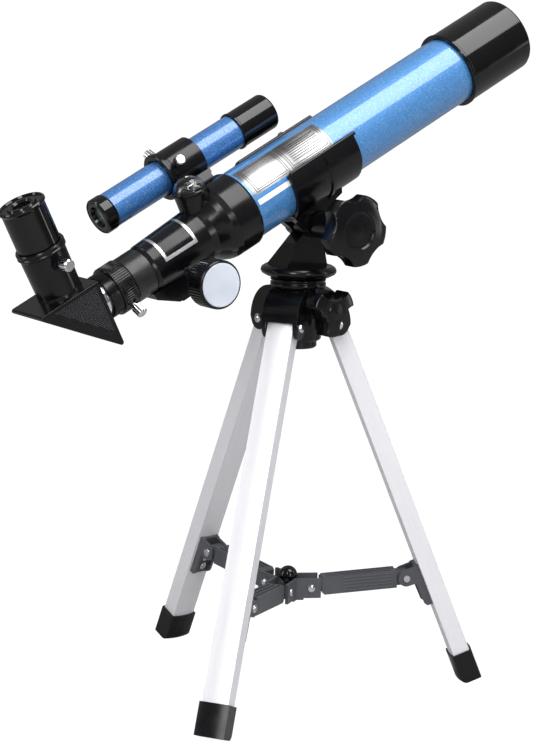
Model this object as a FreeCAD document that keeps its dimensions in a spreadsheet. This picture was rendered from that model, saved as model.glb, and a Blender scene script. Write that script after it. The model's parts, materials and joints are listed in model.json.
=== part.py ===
import FreeCAD, Part
import math
import os
import Sketcher

# A small refracting telescope on a table tripod: 40 mm aperture, 400 mm focal length.
# World frame: millimetres, +Z up, origin on the ground under the tripod axis.
# The tube points towards +X, tipped up by the altitude angle.

doc = FreeCAD.newDocument("TelescopeOnTripod")
sheet = doc.addObject("Spreadsheet::Sheet", "Sizes")

SIZES = [
    # tripod head
    ("leg_hinge_height", 243.0), ("leg_hinge_radius", 24.7), ("leg_splay", 22.78),
    ("first_leg_azimuth", -147.0), ("head_radius", 16.0), ("head_collar_radius", 18.0),
    ("head_bottom", 232.0), ("head_collar_bottom", 266.5), ("head_top", 272.2),
    ("spigot_bore_radius", 9.55), ("spigot_radius", 9.5), ("spigot_bottom", 230.5),
    ("post_radius", 13.3), ("post_bottom", 227.0), ("post_floor", 229.5),
    ("housing_width", 24.0), ("housing_gap", 18.2), ("hinge_pin_radius", 2.0),
    ("hinge_hole_radius", 2.05), ("screw_head_radius", 3.2), ("screw_head_height", 1.9),
    # azimuth lock
    ("lock_height", 254.4), ("lock_azimuth", -87.0), ("lock_boss_radius", 7.0),
    ("lock_boss_end", 22.5), ("lock_bolt_radius", 3.0), ("lock_bolt_hole", 3.06),
    ("lock_knob_radius", 16.3), ("lock_knob_start", 25.5), ("lock_knob_length", 12.5),
    ("lock_valley_radius", 14.0), ("lock_valley_offset", 21.0),
    # legs
    ("leg_width", 17.4), ("leg_depth", 13.2), ("leg_bulge_radius", 38.3), ("leg_wall", 1.2),
    ("leg_end_radius", 6.6), ("leg_bottom", 254.0), ("foot_bottom", 262.0), ("foot_top", 241.0),
    ("foot_width", 20.0), ("foot_depth", 15.8), ("foot_round", 4.0), ("foot_bulge_radius", 42.0),
    # brace brackets, in the leg's own frame
    ("brace_down", 178.4), ("brace_inward", 16.4), ("bracket_width", 14.0),
    ("bracket_gap", 9.6), ("bracket_nose", 5.5), ("bracket_plate", 2.2), ("bracket_end", 201.5),
    ("brace_pin_radius", 1.6), ("brace_hole_radius", 1.65),
    # brace arms
    ("arm_length", 57.0), ("arm_width", 11.6), ("arm_height", 11.8), ("arm_drop", 5.0),
    ("arm_shoulder", 6.6), ("arm_tongue_width", 9.0), ("arm_tongue_radius", 5.0),
    ("arm_end_chamfer", 1.6), ("arm_rib_depth", 1.0),
    # spreader
    ("spreader_height", 66.5), ("spreader_slot", 12.2), ("spreader_cheek", 2.0),
    ("spreader_reach", 21.0), ("spreader_core", 3.0), ("spreader_half_height", 6.5),
    ("spreader_floor_radius", 6.4), ("spreader_floor", 1.5), ("spreader_ball_radius", 6.1),
    ("spreader_ball_rise", 7.5), ("spreader_rivet_reach", 14.5),
    # azimuth head
    ("flange_radius", 24.5), ("flange_bottom", 273.2), ("flange_top", 280.0),
    ("flange_neck_radius", 17.0), ("altitude_x", 6.2), ("altitude_z", 307.4),
    ("altitude_deg", 27.0), ("axis_rise", 35.0), ("tongue_width", 12.6),
    ("yoke_eye_radius", 8.8), ("altitude_bolt_radius", 3.0), ("altitude_hole_radius", 3.05),
    # altitude knob
    ("altitude_knob_radius", 22.8), ("altitude_knob_front", 54.0), ("altitude_knob_back", 42.5),
    ("altitude_valley_radius", 16.0), ("altitude_valley_offset", 34.6),
    # main tube
    ("tube_radius", 23.0), ("tube_inner_radius", 21.8), ("tube_back", -54.0), ("tube_front", 150.0),
    ("shield_radius", 25.2), ("shield_back", 143.3), ("shield_front", 198.0),
    ("shield_lip_radius", 26.0), ("shield_bore", 22.9), ("shield_tube_bore", 23.05),
    ("cell_back", 150.0), ("cell_front", 160.0), ("cell_radius", 22.8), ("cell_bore", 19.8),
    ("lens_radius", 20.4), ("lens_back", 152.6), ("lens_front", 157.4), ("lens_bulge", 1.1),
    # focuser
    ("collar_front", -44.0), ("collar_radius", 25.2), ("collar_back", -62.0),
    ("focuser_back", -122.7), ("focuser_back_radius", 15.4), ("focuser_bore", 14.45),
    ("drawtube_radius", 14.4), ("drawtube_bore", 12.6), ("drawtube_front", -47.0),
    ("ring_front", -138.0), ("ring_back", -150.0), ("ring_radius", 16.0), ("ring_bore", 13.3),
    ("sleeve_back", -157.0), ("sleeve_radius", 14.4), ("stop_radius", 15.2), ("stop_front", -123.3),
    ("pinion_u", -98.6), ("pinion_v", -18.5), ("pinion_radius", 3.9), ("pinion_shaft_radius", 2.0),
    ("pinion_shaft_half", 40.2), ("pinion_half", 5.5), ("rack_top", -13.4),
    ("rack_bottom", -14.5), ("knob_radius", 15.2), ("knob_near", 24.5), ("knob_far", 41.0),
    ("cap_radius", 13.5),
    # compass
    ("compass_u", -72.0), ("compass_v", 26.0), ("compass_tilt", 9.0), ("compass_radius", 11.6),
    ("dome_radius", 10.4), ("pillar_radius", 10.8), ("card_radius", 8.6),
    # finder, on its own axis
    ("finder_v", 32.5), ("finder_n", 31.5), ("finder_radius", 11.3), ("finder_bore", 10.3),
    ("finder_back", -113.0), ("finder_front", -2.0), ("finder_eye_back", -121.5),
    ("finder_eye_radius", 11.8), ("shade_back", -9.5), ("shade_front", 20.0),
    ("shade_radius", 12.1), ("bracket_ring_back", -71.0), ("bracket_ring_front", -43.0),
    ("bracket_ring_radius", 14.5), ("bracket_ring_bore", 12.3), ("finder_screw_u", -62.5),
    ("small_screw_radius", 1.5),
    # cradle
    ("cradle_bore", 23.03), ("cradle_radius", 25.6), ("cradle_front", 40.0), ("cradle_back", -16.0),
    ("cradle_far_back", -34.5), ("cradle_rib_radius", 26.8),
    ("lug_width", 26.0), ("lug_radius", 9.5), ("lug_gap", 13.2),
    ("cradle_far_edge", -38.0), ("cradle_near_edge", 67.0),
    # diagonal and eyepiece
    ("diagonal_front", -162.3), ("diagonal_top", 17.8), ("diagonal_side", 43.6),
    ("nose_radius", 12.2), ("nose_bore", 10.8), ("nose_front", -141.0),
    ("eye_axis_u", -179.8), ("holder_top", 50.6), ("holder_radius", 14.4), ("holder_bore", 12.3),
    ("holder_bead", 15.4), ("eyepiece_radius", 13.65), ("eyepiece_top", 78.5),
    ("eyepiece_flange", 14.7), ("barrel_radius", 12.24), ("barrel_bottom", 27.0),
]

for row, (alias, number) in enumerate(SIZES):
    sheet.set("A%d" % (row + 1), alias)
    sheet.set("B%d" % (row + 1), str(number))
    sheet.setAlias("B%d" % (row + 1), alias)
doc.recompute()

Vec = FreeCAD.Vector
X_AXIS = Vec(1, 0, 0)
Y_AXIS = Vec(0, 1, 0)
Z_AXIS = Vec(0, 0, 1)
NODES = []


def size(alias):
    return float(sheet.get(alias))


def read(item):
    """Value and sheet formula of a number, an alias, '-alias' or (alias, offset)."""
    if isinstance(item, tuple):
        value, formula = read(item[0])
        return value + item[1], "%s + %s" % (formula, item[1])
    if isinstance(item, str):
        if item.startswith("-"):
            return -size(item[1:]), "-Sizes." + item[1:]
        return size(item), "Sizes." + item
    return float(item), None


def bind(feature, prop, item):
    value, formula = read(item)
    if formula:
        feature.setExpression(prop, formula)
    elif not prop.startswith("Placement"):
        setattr(feature, prop, value)


def turn(axis, angle):
    return FreeCAD.Rotation(axis, angle)


def spot(x, y, z, rotation=None):
    return FreeCAD.Placement(Vec(x, y, z), rotation or FreeCAD.Rotation())


def along(direction):
    return FreeCAD.Rotation(Z_AXIS, direction)


def node(feature, label, placement=None):
    """Finish a sub-part: label it, place it, and list it for export."""
    feature.Label = label
    if placement is not None:
        feature.Placement = placement
    NODES.append(feature)
    return feature


def cylinder(name, radius, length, base=(0, 0, 0), direction=Z_AXIS):
    feature = doc.addObject("Part::Cylinder", name)
    bind(feature, "Radius", radius)
    bind(feature, "Height", length)
    start = [read(item) for item in base]
    feature.Placement = FreeCAD.Placement(Vec(*[pair[0] for pair in start]), along(direction))
    for letter, (value, formula) in zip("xyz", start):
        if formula:
            feature.setExpression("Placement.Base." + letter, formula)
    return feature


def cross_pin(name, radius, half_length, centre, direction=Y_AXIS):
    """Cylinder centred on a point, running both ways along a direction."""
    half = read(half_length)[0]
    base = Vec(*[read(item)[0] for item in centre]) - direction * half
    feature = doc.addObject("Part::Cylinder", name)
    bind(feature, "Radius", radius)
    feature.Height = 2 * half
    feature.Placement = FreeCAD.Placement(base, along(direction))
    return feature


def box(name, low, high):
    feature = doc.addObject("Part::Box", name)
    low = [read(item)[0] for item in low]
    high = [read(item)[0] for item in high]
    feature.Length = high[0] - low[0]
    feature.Width = high[1] - low[1]
    feature.Height = high[2] - low[2]
    feature.Placement = spot(*low)
    return feature


def sphere(name, radius, centre):
    feature = doc.addObject("Part::Sphere", name)
    bind(feature, "Radius", radius)
    feature.Placement = spot(*[read(item)[0] for item in centre])
    return feature


def polygon_sketch(body, name, points):
    """Closed outline on the body's XZ plane, every corner bound to the sheet."""
    sketch = body.newObject("Sketcher::SketchObject", name)
    plane = [item for item in body.Origin.OriginFeatures if item.Role == "XZ_Plane"][0]
    sketch.AttachmentSupport = [(plane, "")]
    sketch.MapMode = "FlatFace"
    corners = [(read(x), read(z)) for x, z in points]
    count = len(corners)
    for index in range(count):
        here = corners[index]
        there = corners[(index + 1) % count]
        start = Vec(here[0][0], here[1][0], 0)
        end = Vec(there[0][0], there[1][0], 0)
        sketch.addGeometry(Part.LineSegment(start, end), False)
    for index in range(count):
        sketch.addConstraint(Sketcher.Constraint("Coincident", index, 2, (index + 1) % count, 1))
    for index, (x, z) in enumerate(corners):
        for kind, (value, formula) in (("DistanceX", x), ("DistanceY", z)):
            number = sketch.addConstraint(Sketcher.Constraint(kind, -1, 1, index, 1, value))
            if formula:
                sketch.setExpression("Constraints[%d]" % number, formula)
    doc.recompute()
    return sketch


def turned(name, profile):
    """Body turned about its own X axis; the profile lists (station, radius)."""
    body = doc.addObject("PartDesign::Body", name)
    sketch = polygon_sketch(body, name + "_profile", profile)
    revolution = body.newObject("PartDesign::Revolution", name + "_turn")
    revolution.Profile = sketch
    revolution.ReferenceAxis = (sketch, ["H_Axis"])
    revolution.Angle = 360
    return body


def plate(name, outline, width):
    """Body padded both ways from its XZ plane."""
    body = doc.addObject("PartDesign::Body", name)
    sketch = polygon_sketch(body, name + "_outline", outline)
    pad = body.newObject("PartDesign::Pad", name + "_pad")
    pad.Profile = sketch
    bind(pad, "Length", width)
    pad.SideType = "Symmetric"
    return body


def fuse(name, shapes):
    feature = doc.addObject("Part::MultiFuse", name)
    feature.Shapes = shapes
    feature.Refine = True
    return feature


def common(name, shapes):
    feature = doc.addObject("Part::MultiCommon", name)
    feature.Shapes = shapes
    return feature


def cut(name, base, tools):
    feature = doc.addObject("Part::Cut", name)
    feature.Base = base
    feature.Tool = tools[0] if len(tools) == 1 else fuse(name + "_tools", tools)
    feature.Refine = True
    return feature


def fillet(name, base, radius, chosen):
    """Round the edges whose middle point passes a test."""
    doc.recompute()
    edges = []
    for index, edge in enumerate(base.Shape.Edges):
        middle = edge.valueAt((edge.FirstParameter + edge.LastParameter) / 2)
        if chosen(middle, edge):
            edges.append((index + 1, radius, radius))
    feature = doc.addObject("Part::Fillet", name)
    feature.Base = base
    feature.Edges = edges
    return feature


def ring_of(count, start=0.0):
    return [start + index * 360.0 / count for index in range(count)]


# ---------------------------------------------------------------- frames

def leg_azimuth(number):
    return size("first_leg_azimuth") + 120.0 * number


def leg_radial_frame(number):
    return spot(0, 0, 0, turn(Z_AXIS, leg_azimuth(number)))


def leg_frame(number, tilt=None):
    tilt = size("leg_splay") if tilt is None else tilt
    hinge = spot(size("leg_hinge_radius"), 0, size("leg_hinge_height"), turn(Y_AXIS, -tilt))
    return leg_radial_frame(number).multiply(hinge)


def arm_frame(number):
    hinge = spot(-size("brace_inward"), 0, -size("brace_down"))
    place = leg_frame(number).multiply(hinge)
    return place.multiply(spot(0, 0, 0, turn(Y_AXIS, size("leg_splay") - size("arm_drop"))))


def scope_frame():
    pivot = spot(size("altitude_x"), 0, size("altitude_z"), turn(Y_AXIS, -size("altitude_deg")))
    return pivot.multiply(spot(0, 0, size("axis_rise")))


def finder_frame():
    return scope_frame().multiply(spot(0, size("finder_n"), size("finder_v")))


def eyepiece_frame():
    """X runs up the eyepiece axis, Z points back along the tube."""
    place = spot(size("eye_axis_u"), 0, 0, turn(Y_AXIS, -90))
    return scope_frame().multiply(place)


# ---------------------------------------------------------------- tripod head

def arc_points(centre, radii, start, end, steps):
    """Points on an ellipse in the XZ plane, angles in degrees from +X towards +Z."""
    points = []
    for index in range(steps + 1):
        angle = math.radians(start + (end - start) * index / steps)
        points.append((centre[0] + radii[0] * math.cos(angle), centre[1] + radii[1] * math.sin(angle)))
    return points


def leg_housing(number):
    rise = size("leg_hinge_height")
    reach = size("leg_hinge_radius")
    eye = arc_points((reach, rise), (7.6, 7.6), 195, 345, 10)
    hood = arc_points((reach - 10.0, rise + 0.5), (18.5, 22.5), 0, 90, 16)
    outline = [(10, rise + 3.5), (reach - 8.2, rise + 3.5)] + eye + hood + [(10, rise + 23.0)]
    block = plate("housing_%d" % number, outline, "housing_width")
    block.Placement = leg_radial_frame(number)
    return block


def housing_pocket(number):
    rise = size("leg_hinge_height")
    half = size("housing_gap") / 2
    low = box("pocket_low_%d" % number, (16.6, -half, rise - 14), (40, half, rise + 3.6))
    high = box("pocket_high_%d" % number, (16.6, -half, rise), (31.2, half, rise + 10.6))
    pin = cross_pin("pocket_pin_%d" % number, "hinge_hole_radius", 20, ("leg_hinge_radius", 0, rise))
    for tool in (low, high, pin):
        tool.Placement = leg_radial_frame(number).multiply(tool.Placement)
    return [low, high, pin]


def tripod_hub():
    barrel = turned("barrel", [
        ("head_bottom", "spigot_bore_radius"), ("head_bottom", ("head_radius", -1)),
        (("head_bottom", 1), "head_radius"), ("head_collar_bottom", "head_radius"),
        ("head_collar_bottom", ("head_collar_radius", -0.4)),
        (("head_collar_bottom", 0.4), "head_collar_radius"),
        (("head_collar_bottom", 2.6), "head_collar_radius"),
        (("head_collar_bottom", 3.0), ("head_collar_radius", -0.7)),
        (("head_collar_bottom", 3.8), ("head_collar_radius", -0.7)),
        (("head_collar_bottom", 4.2), "head_collar_radius"),
        (("head_top", -0.8), "head_collar_radius"), ("head_top", ("head_collar_radius", -0.8)),
        ("head_top", "spigot_bore_radius"),
    ])
    barrel.Placement = spot(0, 0, 0, turn(Y_AXIS, -90))
    lock_way = Vec(math.cos(math.radians(size("lock_azimuth"))),
                   math.sin(math.radians(size("lock_azimuth"))), 0)
    boss = cylinder("lock_boss", "lock_boss_radius", ("lock_boss_end", -12))
    boss.Placement = FreeCAD.Placement(lock_way * 12 + Z_AXIS * size("lock_height"), along(lock_way))
    solid = fuse("hub_solid", [barrel, boss] + [leg_housing(number) for number in range(3)])
    bore = cylinder("hub_bore", "spigot_bore_radius", 60, (0, 0, ("head_bottom", -10)))
    thread = cylinder("lock_thread", "lock_bolt_hole", 30)
    thread.Placement = FreeCAD.Placement(Z_AXIS * size("lock_height"), along(lock_way))
    tools = [bore, thread]
    for number in range(3):
        tools += housing_pocket(number)
    node(cut("tripod_hub", solid, tools), "tripod_hub")


def center_post():
    post = turned("center_post", [
        ("post_bottom", 0), ("post_bottom", ("post_radius", -1)), (("post_bottom", 1), "post_radius"),
        ("head_bottom", "post_radius"), ("head_bottom", "spigot_bore_radius"),
        ("post_floor", "spigot_bore_radius"), ("post_floor", 0),
    ])
    node(post, "center_post", spot(0, 0, 0, turn(Y_AXIS, -90)))


def pan_screw(name, radius, head_radius, head_height, start, length, place):
    """Screw along -Y from a head standing on Y = start."""
    shank = cylinder(name + "_shank", radius, length, (0, start - length, 0), Y_AXIS)
    head = turned(name + "_head", [
        (start, 0), (start, head_radius), (start + head_height * 0.55, head_radius * 0.93),
        (start + head_height * 0.9, head_radius * 0.62), (start + head_height, head_radius * 0.35),
        (start + head_height, 0),
    ])
    head.Placement = spot(0, 0, 0, turn(Z_AXIS, 90))
    slot = box(name + "_slot", (-head_radius, start + head_height - 0.6, -0.35),
               (head_radius, start + head_height + 1, 0.35))
    cross = box(name + "_cross", (-0.35, start + head_height - 0.6, -head_radius),
                (0.35, start + head_height + 1, head_radius))
    screw = cut(name, fuse(name + "_body", [shank, head]), [slot, cross])
    screw.Placement = place
    return screw


def leg_pivot_screws():
    screws = []
    half = size("housing_width") / 2
    for number in range(3):
        place = leg_frame(number, 0)
        name = "pivot_%d" % number
        screw = pan_screw(name, "hinge_pin_radius", size("screw_head_radius"),
                          size("screw_head_height"), half, 2 * half, place)
        nut = turned(name + "_nut", [(-half - 2.2, 0), (-half - 2.2, 2.6), (-half - 1.8, 3.1),
                                     (-half, 3.1), (-half, 0)])
        nut.Placement = place.multiply(spot(0, 0, 0, turn(Z_AXIS, 90)))
        screws.append(fuse(name + "_set", [screw, nut]))
    node(fuse("leg_pivot_screws", screws), "leg_pivot_screws")


def lobed_knob(name, radius, start, length, valley_radius, valley_offset, count, phase, dome):
    """Star knob turned about X with scalloped valleys and a domed front face."""
    end = start + length
    edge = 0.7
    disc = turned(name + "_disc", [
        (start, 0), (start, radius - edge), (start + edge, radius), (end - dome - edge, radius),
        (end - dome, radius - edge), (end - dome * 0.4, radius * 0.78), (end, radius * 0.55), (end, 0),
    ])
    valleys = []
    for index, angle in enumerate(ring_of(count, phase)):
        y = valley_offset * math.cos(math.radians(angle))
        z = valley_offset * math.sin(math.radians(angle))
        valley = cylinder("%s_valley_%d" % (name, index), valley_radius, length + 4,
                          (start - 2, y, z), X_AXIS)
        valleys.append(valley)
    return cut(name + "_star", disc, valleys)


def azimuth_lock_knob():
    start = size("lock_knob_start")
    length = size("lock_knob_length")
    star = lobed_knob("lock", size("lock_knob_radius"), start, length,
                      size("lock_valley_radius"), size("lock_valley_offset"), 3, 90, 0.6)
    neck_start = size("lock_boss_end") + 0.5
    neck = turned("lock_neck", [
        (neck_start, 0), (neck_start, 6.0), (start + 0.5, 6.6), (start + 2, 6.6), (start + 2, 0),
    ])
    bolt = cylinder("lock_bolt", "lock_bolt_radius", 18, (9.75, 0, 0), X_AXIS)
    cap = turned("lock_cap", [(start + length - 1, 0), (start + length - 1, 6.3),
                              (start + length + 0.8, 5.2), (start + length + 1.2, 0)])
    knob = fuse("azimuth_lock_knob", [star, neck, bolt, cap])
    node(knob, "azimuth_lock_knob", spot(0, 0, size("lock_height"), turn(Z_AXIS, size("lock_azimuth"))))


# ---------------------------------------------------------------- legs

def bulged_bar(name, width, depth, bulge_radius, bottom, top):
    """Bar with two flat sides and two slightly rounded faces, along Z."""
    half = width / 2
    bar = box(name + "_bar", (-depth, -half, bottom), (depth, half, top))
    faces = []
    for side in (-1, 1):
        face = cylinder("%s_face_%s" % (name, "in" if side < 0 else "out"), bulge_radius, top - bottom,
                        (side * (depth / 2 - bulge_radius), 0, bottom))
        faces.append(face)
    return common(name, [bar] + faces)


def leg_tube(number):
    name = "leg_tube_%d" % (number + 1)
    width = size("leg_width")
    depth = size("leg_depth")
    wall = size("leg_wall")
    bulge = size("leg_bulge_radius")
    end = size("leg_end_radius")
    bar = bulged_bar(name + "_outer", width, depth, bulge, -size("leg_bottom"), end)
    keep_end = cross_pin(name + "_end", end, width, (0, 0, 0))
    keep_bar = box(name + "_keep", (-20, -20, -300), (20, 20, 0))
    rounded = common(name + "_rounded", [bar, fuse(name + "_limits", [keep_end, keep_bar])])
    hollow = bulged_bar(name + "_hollow", width - 2 * wall, depth - 2 * wall, bulge - wall,
                        -size("leg_bottom") - 1, end + 1)
    pin = cross_pin(name + "_pin", "hinge_hole_radius", width, (0, 0, 0))
    node(cut(name, rounded, [hollow, pin]), name, leg_frame(number))


def leg_foot(number):
    name = "leg_foot_%d" % (number + 1)
    width = size("foot_width")
    depth = size("foot_depth")
    bottom = -size("foot_bottom")
    bar = bulged_bar(name + "_bar", width, depth, size("foot_bulge_radius"), bottom, -size("foot_top"))
    soft = fillet(name + "_soft", bar, size("foot_round"),
                  lambda middle, edge: abs(middle.z - bottom) < 0.01 and abs(middle.y) < 1)
    pocket = bulged_bar(name + "_pocket", size("leg_width") + 0.04, size("leg_depth") + 0.04,
                        size("leg_bulge_radius"), -size("leg_bottom"), -size("foot_top") + 1)
    ground = box(name + "_ground", (-400, -400, -40), (400, 400, 0))
    ground.Placement = leg_frame(number).inverse().multiply(ground.Placement)
    node(cut(name, soft, [pocket, ground]), name, leg_frame(number))


def brace_bracket(number):
    name = "brace_bracket_%d" % (number + 1)
    inner = -size("leg_depth") / 2
    inward = -size("brace_inward")
    down = -size("brace_down")
    nose = size("bracket_nose")
    plate_x = inner - size("bracket_plate")
    seat = inner + 1.5
    outline = [
        (seat, down + nose + 0.5), (plate_x, down + nose + 0.5), (plate_x - 1.0, down + nose - 0.2),
    ] + arc_points((inward, down), (nose, nose), 90, 270, 12) + [
        (plate_x - 3.2, down - nose - 0.2), (plate_x - 2.6, down - nose - 1.6),
        (plate_x - 2.2, -size("bracket_end") + 2.0), (plate_x - 0.8, -size("bracket_end")),
        (seat, -size("bracket_end")),
    ]
    block = plate(name + "_block", outline, "bracket_width")
    half = size("bracket_gap") / 2
    gap = box(name + "_gap", (inward - 12, -half, -size("bracket_end") - 5), (plate_x, half, down + 20))
    pin = cross_pin(name + "_pin", "brace_hole_radius", 12, (inward, 0, down))
    bulge = size("leg_bulge_radius")
    leg_face = cylinder(name + "_seat", bulge, 60, (inner + bulge, 0, down - 35))
    tools = [gap, pin, leg_face]
    for index, step in enumerate((10.5, 17.5)):
        hole = cylinder("%s_hole_%d" % (name, index), 1.3, 12, (inner - 6, 0, down - step), X_AXIS)
        tools.append(hole)
    node(cut(name, block, tools), name, leg_frame(number))


def brace_screws(number):
    name = "brace_screws_%d" % (number + 1)
    inner = -size("leg_depth") / 2
    plate_x = inner - size("bracket_plate")
    inward = -size("brace_inward")
    down = -size("brace_down")
    half = size("bracket_width") / 2
    place = spot(inward, 0, down)
    pieces = [pan_screw(name + "_hinge", "brace_pin_radius", 2.9, 1.4, half, 2 * half, place)]
    tail = turned(name + "_tail", [(-half - 1.0, 0), (-half - 1.0, 2.2), (-half, 2.5), (-half, 0)])
    tail.Placement = spot(inward, 0, down, turn(Z_AXIS, 90))
    pieces.append(tail)
    for index, step in enumerate((10.5, 17.5)):
        place = spot(plate_x, 0, down - step, turn(Z_AXIS, 90))
        screw = pan_screw("%s_plate_%d" % (name, index), 1.3, 2.7, 1.7, 0.0, size("bracket_plate"), place)
        pieces.append(screw)
    node(fuse(name, pieces), name, leg_frame(number))


# ---------------------------------------------------------------- braces

def brace_arm(number):
    """Arm in its own frame: hinge at the origin, running along -X."""
    name = "brace_arm_%d" % (number + 1)
    length = size("arm_length")
    shoulder = size("arm_shoulder")
    half_height = size("arm_height") / 2
    bevel = size("arm_end_chamfer")
    bar = plate(name + "_bar", [
        (-shoulder, -half_height), (-shoulder, half_height), (-length + bevel, half_height),
        (-length, half_height - bevel), (-length, bevel - half_height), (-length + bevel, -half_height),
    ], "arm_width")
    tongue_half = size("arm_tongue_width") / 2
    knuckle = cross_pin(name + "_knuckle", "arm_tongue_radius", tongue_half, (0, 0, 0))
    tongue = box(name + "_tongue", (-shoulder - 1, -tongue_half, -4.6), (0, tongue_half, 4.6))
    solid = fuse(name + "_solid", [bar, knuckle, tongue])
    tools = [cross_pin(name + "_pin", "brace_hole_radius", 12, (0, 0, 0))]
    depth = size("arm_rib_depth")
    for index, y in enumerate((-3.4, 0.0, 3.4)):
        low = (-length + 4, y - 0.75, half_height - depth)
        groove = box("%s_rib_%d" % (name, index), low, (-shoulder - 3, y + 0.75, half_height + 2))
        tools.append(groove)
    node(cut(name, solid, tools), name, arm_frame(number))


def spreader_hub():
    rise = size("spreader_height")
    half = size("spreader_half_height")
    slot = size("spreader_slot") / 2
    outer = slot + size("spreader_cheek")
    reach = size("spreader_reach")
    floor_top = rise - half + 0.3
    core = cylinder("spreader_core", "spreader_core", half + size("spreader_ball_rise") - 5.0,
                    (0, 0, rise - half))
    floor_disc = cylinder("spreader_floor_disc", "spreader_floor_radius", "spreader_floor",
                          (0, 0, floor_top - size("spreader_floor")))
    blocks = []
    slots = []
    bridges = []
    for number in range(3):
        frame = leg_radial_frame(number)
        bridge = box("spreader_bridge_%d" % number, (2, -2, floor_top - size("spreader_floor")),
                     (8.7, 2, floor_top + 2.0))
        bridge.Placement = frame.multiply(spot(0, 0, 0, turn(Z_AXIS, 60))).multiply(bridge.Placement)
        bridges.append(bridge)
        block = box("spreader_block_%d" % number, (0, -outer, rise - half), (reach, outer, rise + half))
        web = box("spreader_web_%d" % number, (0, -outer, floor_top - size("spreader_floor")),
                  (9.5, outer, floor_top))
        gap = box("spreader_gap_%d" % number, (-0.5, -slot, floor_top - 9),
                  (reach + 5, slot, rise + half + 5))
        for item in (block, web, gap):
            item.Placement = frame.multiply(item.Placement)
        blocks += [block, web]
        slots.append(gap)
    forks = cut("spreader_forks", fuse("spreader_blocks", blocks), slots)
    node(fuse("spreader_hub", [forks, core, floor_disc] + bridges), "spreader_hub")


def spreader_ball():
    rise = size("spreader_height") + size("spreader_ball_rise")
    ball = sphere("spreader_ball_form", "spreader_ball_radius", (0, 0, rise))
    trim = box("spreader_ball_trim", (-10, -10, rise - 12), (10, 10, rise - 5.0))
    node(cut("spreader_ball", ball, [trim]), "spreader_ball")


def spreader_rivets():
    outer = size("spreader_slot") / 2 + size("spreader_cheek")
    heads = []
    for number in range(3):
        for side in (-1, 1):
            name = "rivet_%d_%s" % (number, "a" if side < 0 else "b")
            head = turned(name, [(outer, 0), (outer, 2.7), (outer + 0.7, 2.3), (outer + 1.1, 1.2),
                                 (outer + 1.1, 0)])
            place = spot(size("spreader_rivet_reach"), 0, size("spreader_height"), turn(Z_AXIS, 90 * side))
            head.Placement = leg_radial_frame(number).multiply(place)
            heads.append(head)
    node(fuse("spreader_rivets", heads), "spreader_rivets")


# ---------------------------------------------------------------- azimuth and altitude

def yoke():
    flange = turned("yoke_flange", [
        ("spigot_bottom", 0), ("spigot_bottom", ("spigot_radius", -1)),
        (("spigot_bottom", 1), "spigot_radius"), ("head_top", "spigot_radius"),
        ("head_top", ("flange_neck_radius", -0.6)), (("head_top", 0.6), "flange_neck_radius"),
        ("flange_bottom", "flange_neck_radius"), ("flange_bottom", ("flange_radius", -4)),
        (("flange_bottom", 1.6), ("flange_radius", -0.9)), (("flange_bottom", 3.0), "flange_radius"),
        (("flange_top", -2.6), "flange_radius"), (("flange_top", -1.2), ("flange_radius", -0.7)),
        ("flange_top", ("flange_radius", -2.4)), ("flange_top", 0),
    ])
    flange.Placement = spot(0, 0, 0, turn(Y_AXIS, -90))
    x = size("altitude_x")
    z = size("altitude_z")
    base = size("flange_top")
    eye = size("yoke_eye_radius")
    column = [(-14.4, base - 1), (18.6, base - 1), (14.8, z - 12.8)]
    tongue = plate("yoke_tongue", column + [
        (x + eye, z - 2), (x, z), (x - eye * 0.8, z - eye * 0.6), (-8.0, z - 12.8),
    ], "tongue_width")
    side = plate("yoke_side", column + [(-8.0, z - 12.8)], 50)
    half = size("tongue_width") / 2
    flare = plate("yoke_flare", [
        (-half, base - 1), (16.2, base - 1), (half, z - 12.8), (-half, z - 12.8),
    ], 50)
    flare.Placement = spot(0, 0, 0, turn(Z_AXIS, 90))
    round_limit = cylinder("yoke_limit", 22.8, 60, (0, 0, base - 1))
    body = common("yoke_body", [side, flare, round_limit])
    eye_round = cross_pin("yoke_eye", "yoke_eye_radius", half, (x, 0, z))
    hole = cross_pin("yoke_hole", "altitude_bolt_radius", 30, (x, 0, z))
    solid = fuse("yoke_solid", [flange, body, tongue, eye_round])
    node(cut("yoke", solid, [hole]), "yoke")


def altitude_frame():
    """X runs towards the near side, along the altitude axis."""
    return spot(size("altitude_x"), 0, size("altitude_z"), turn(Z_AXIS, -90))


def altitude_knob():
    start = size("altitude_knob_back")
    length = size("altitude_knob_front") - start
    star = lobed_knob("altitude", size("altitude_knob_radius"), start, length,
                      size("altitude_valley_radius"), size("altitude_valley_offset"), 5, 27, 1.6)
    front = size("altitude_knob_front")
    cheek_face = size("lug_width") / 2
    boss = turned("altitude_boss", [
        (cheek_face + 0.3, 0), (cheek_face + 0.3, 8.0), (cheek_face + 1.5, 9.0), (start - 7, 9.6),
        (start + 1, 14.0), (start + 1, 0),
    ])
    dish = turned("altitude_dish", [
        (front - 0.5, 0), (front - 0.9, 6.0), (front - 1.1, 11.0), (front + 1, 13.1), (front + 1, 0),
    ])
    hole = cylinder("altitude_knob_hole", "altitude_hole_radius", 34, (cheek_face - 4, 0, 0), X_AXIS)
    solid = fuse("altitude_knob_solid", [star, boss])
    node(cut("altitude_knob", solid, [dish, hole]), "altitude_knob", altitude_frame())


def altitude_bolt():
    far = -(size("lug_width") / 2 + 0.3)
    shank = cylinder("altitude_bolt_shank", "altitude_bolt_radius", 53, (far - 1, 0, 0), X_AXIS)
    head = turned("altitude_bolt_head", [(far - 4.0, 0), (far - 4.0, 5.2), (far - 3.5, 5.8),
                                         (far, 5.8), (far, 0)])
    node(fuse("altitude_bolt", [shank, head]), "altitude_bolt", altitude_frame())


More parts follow.
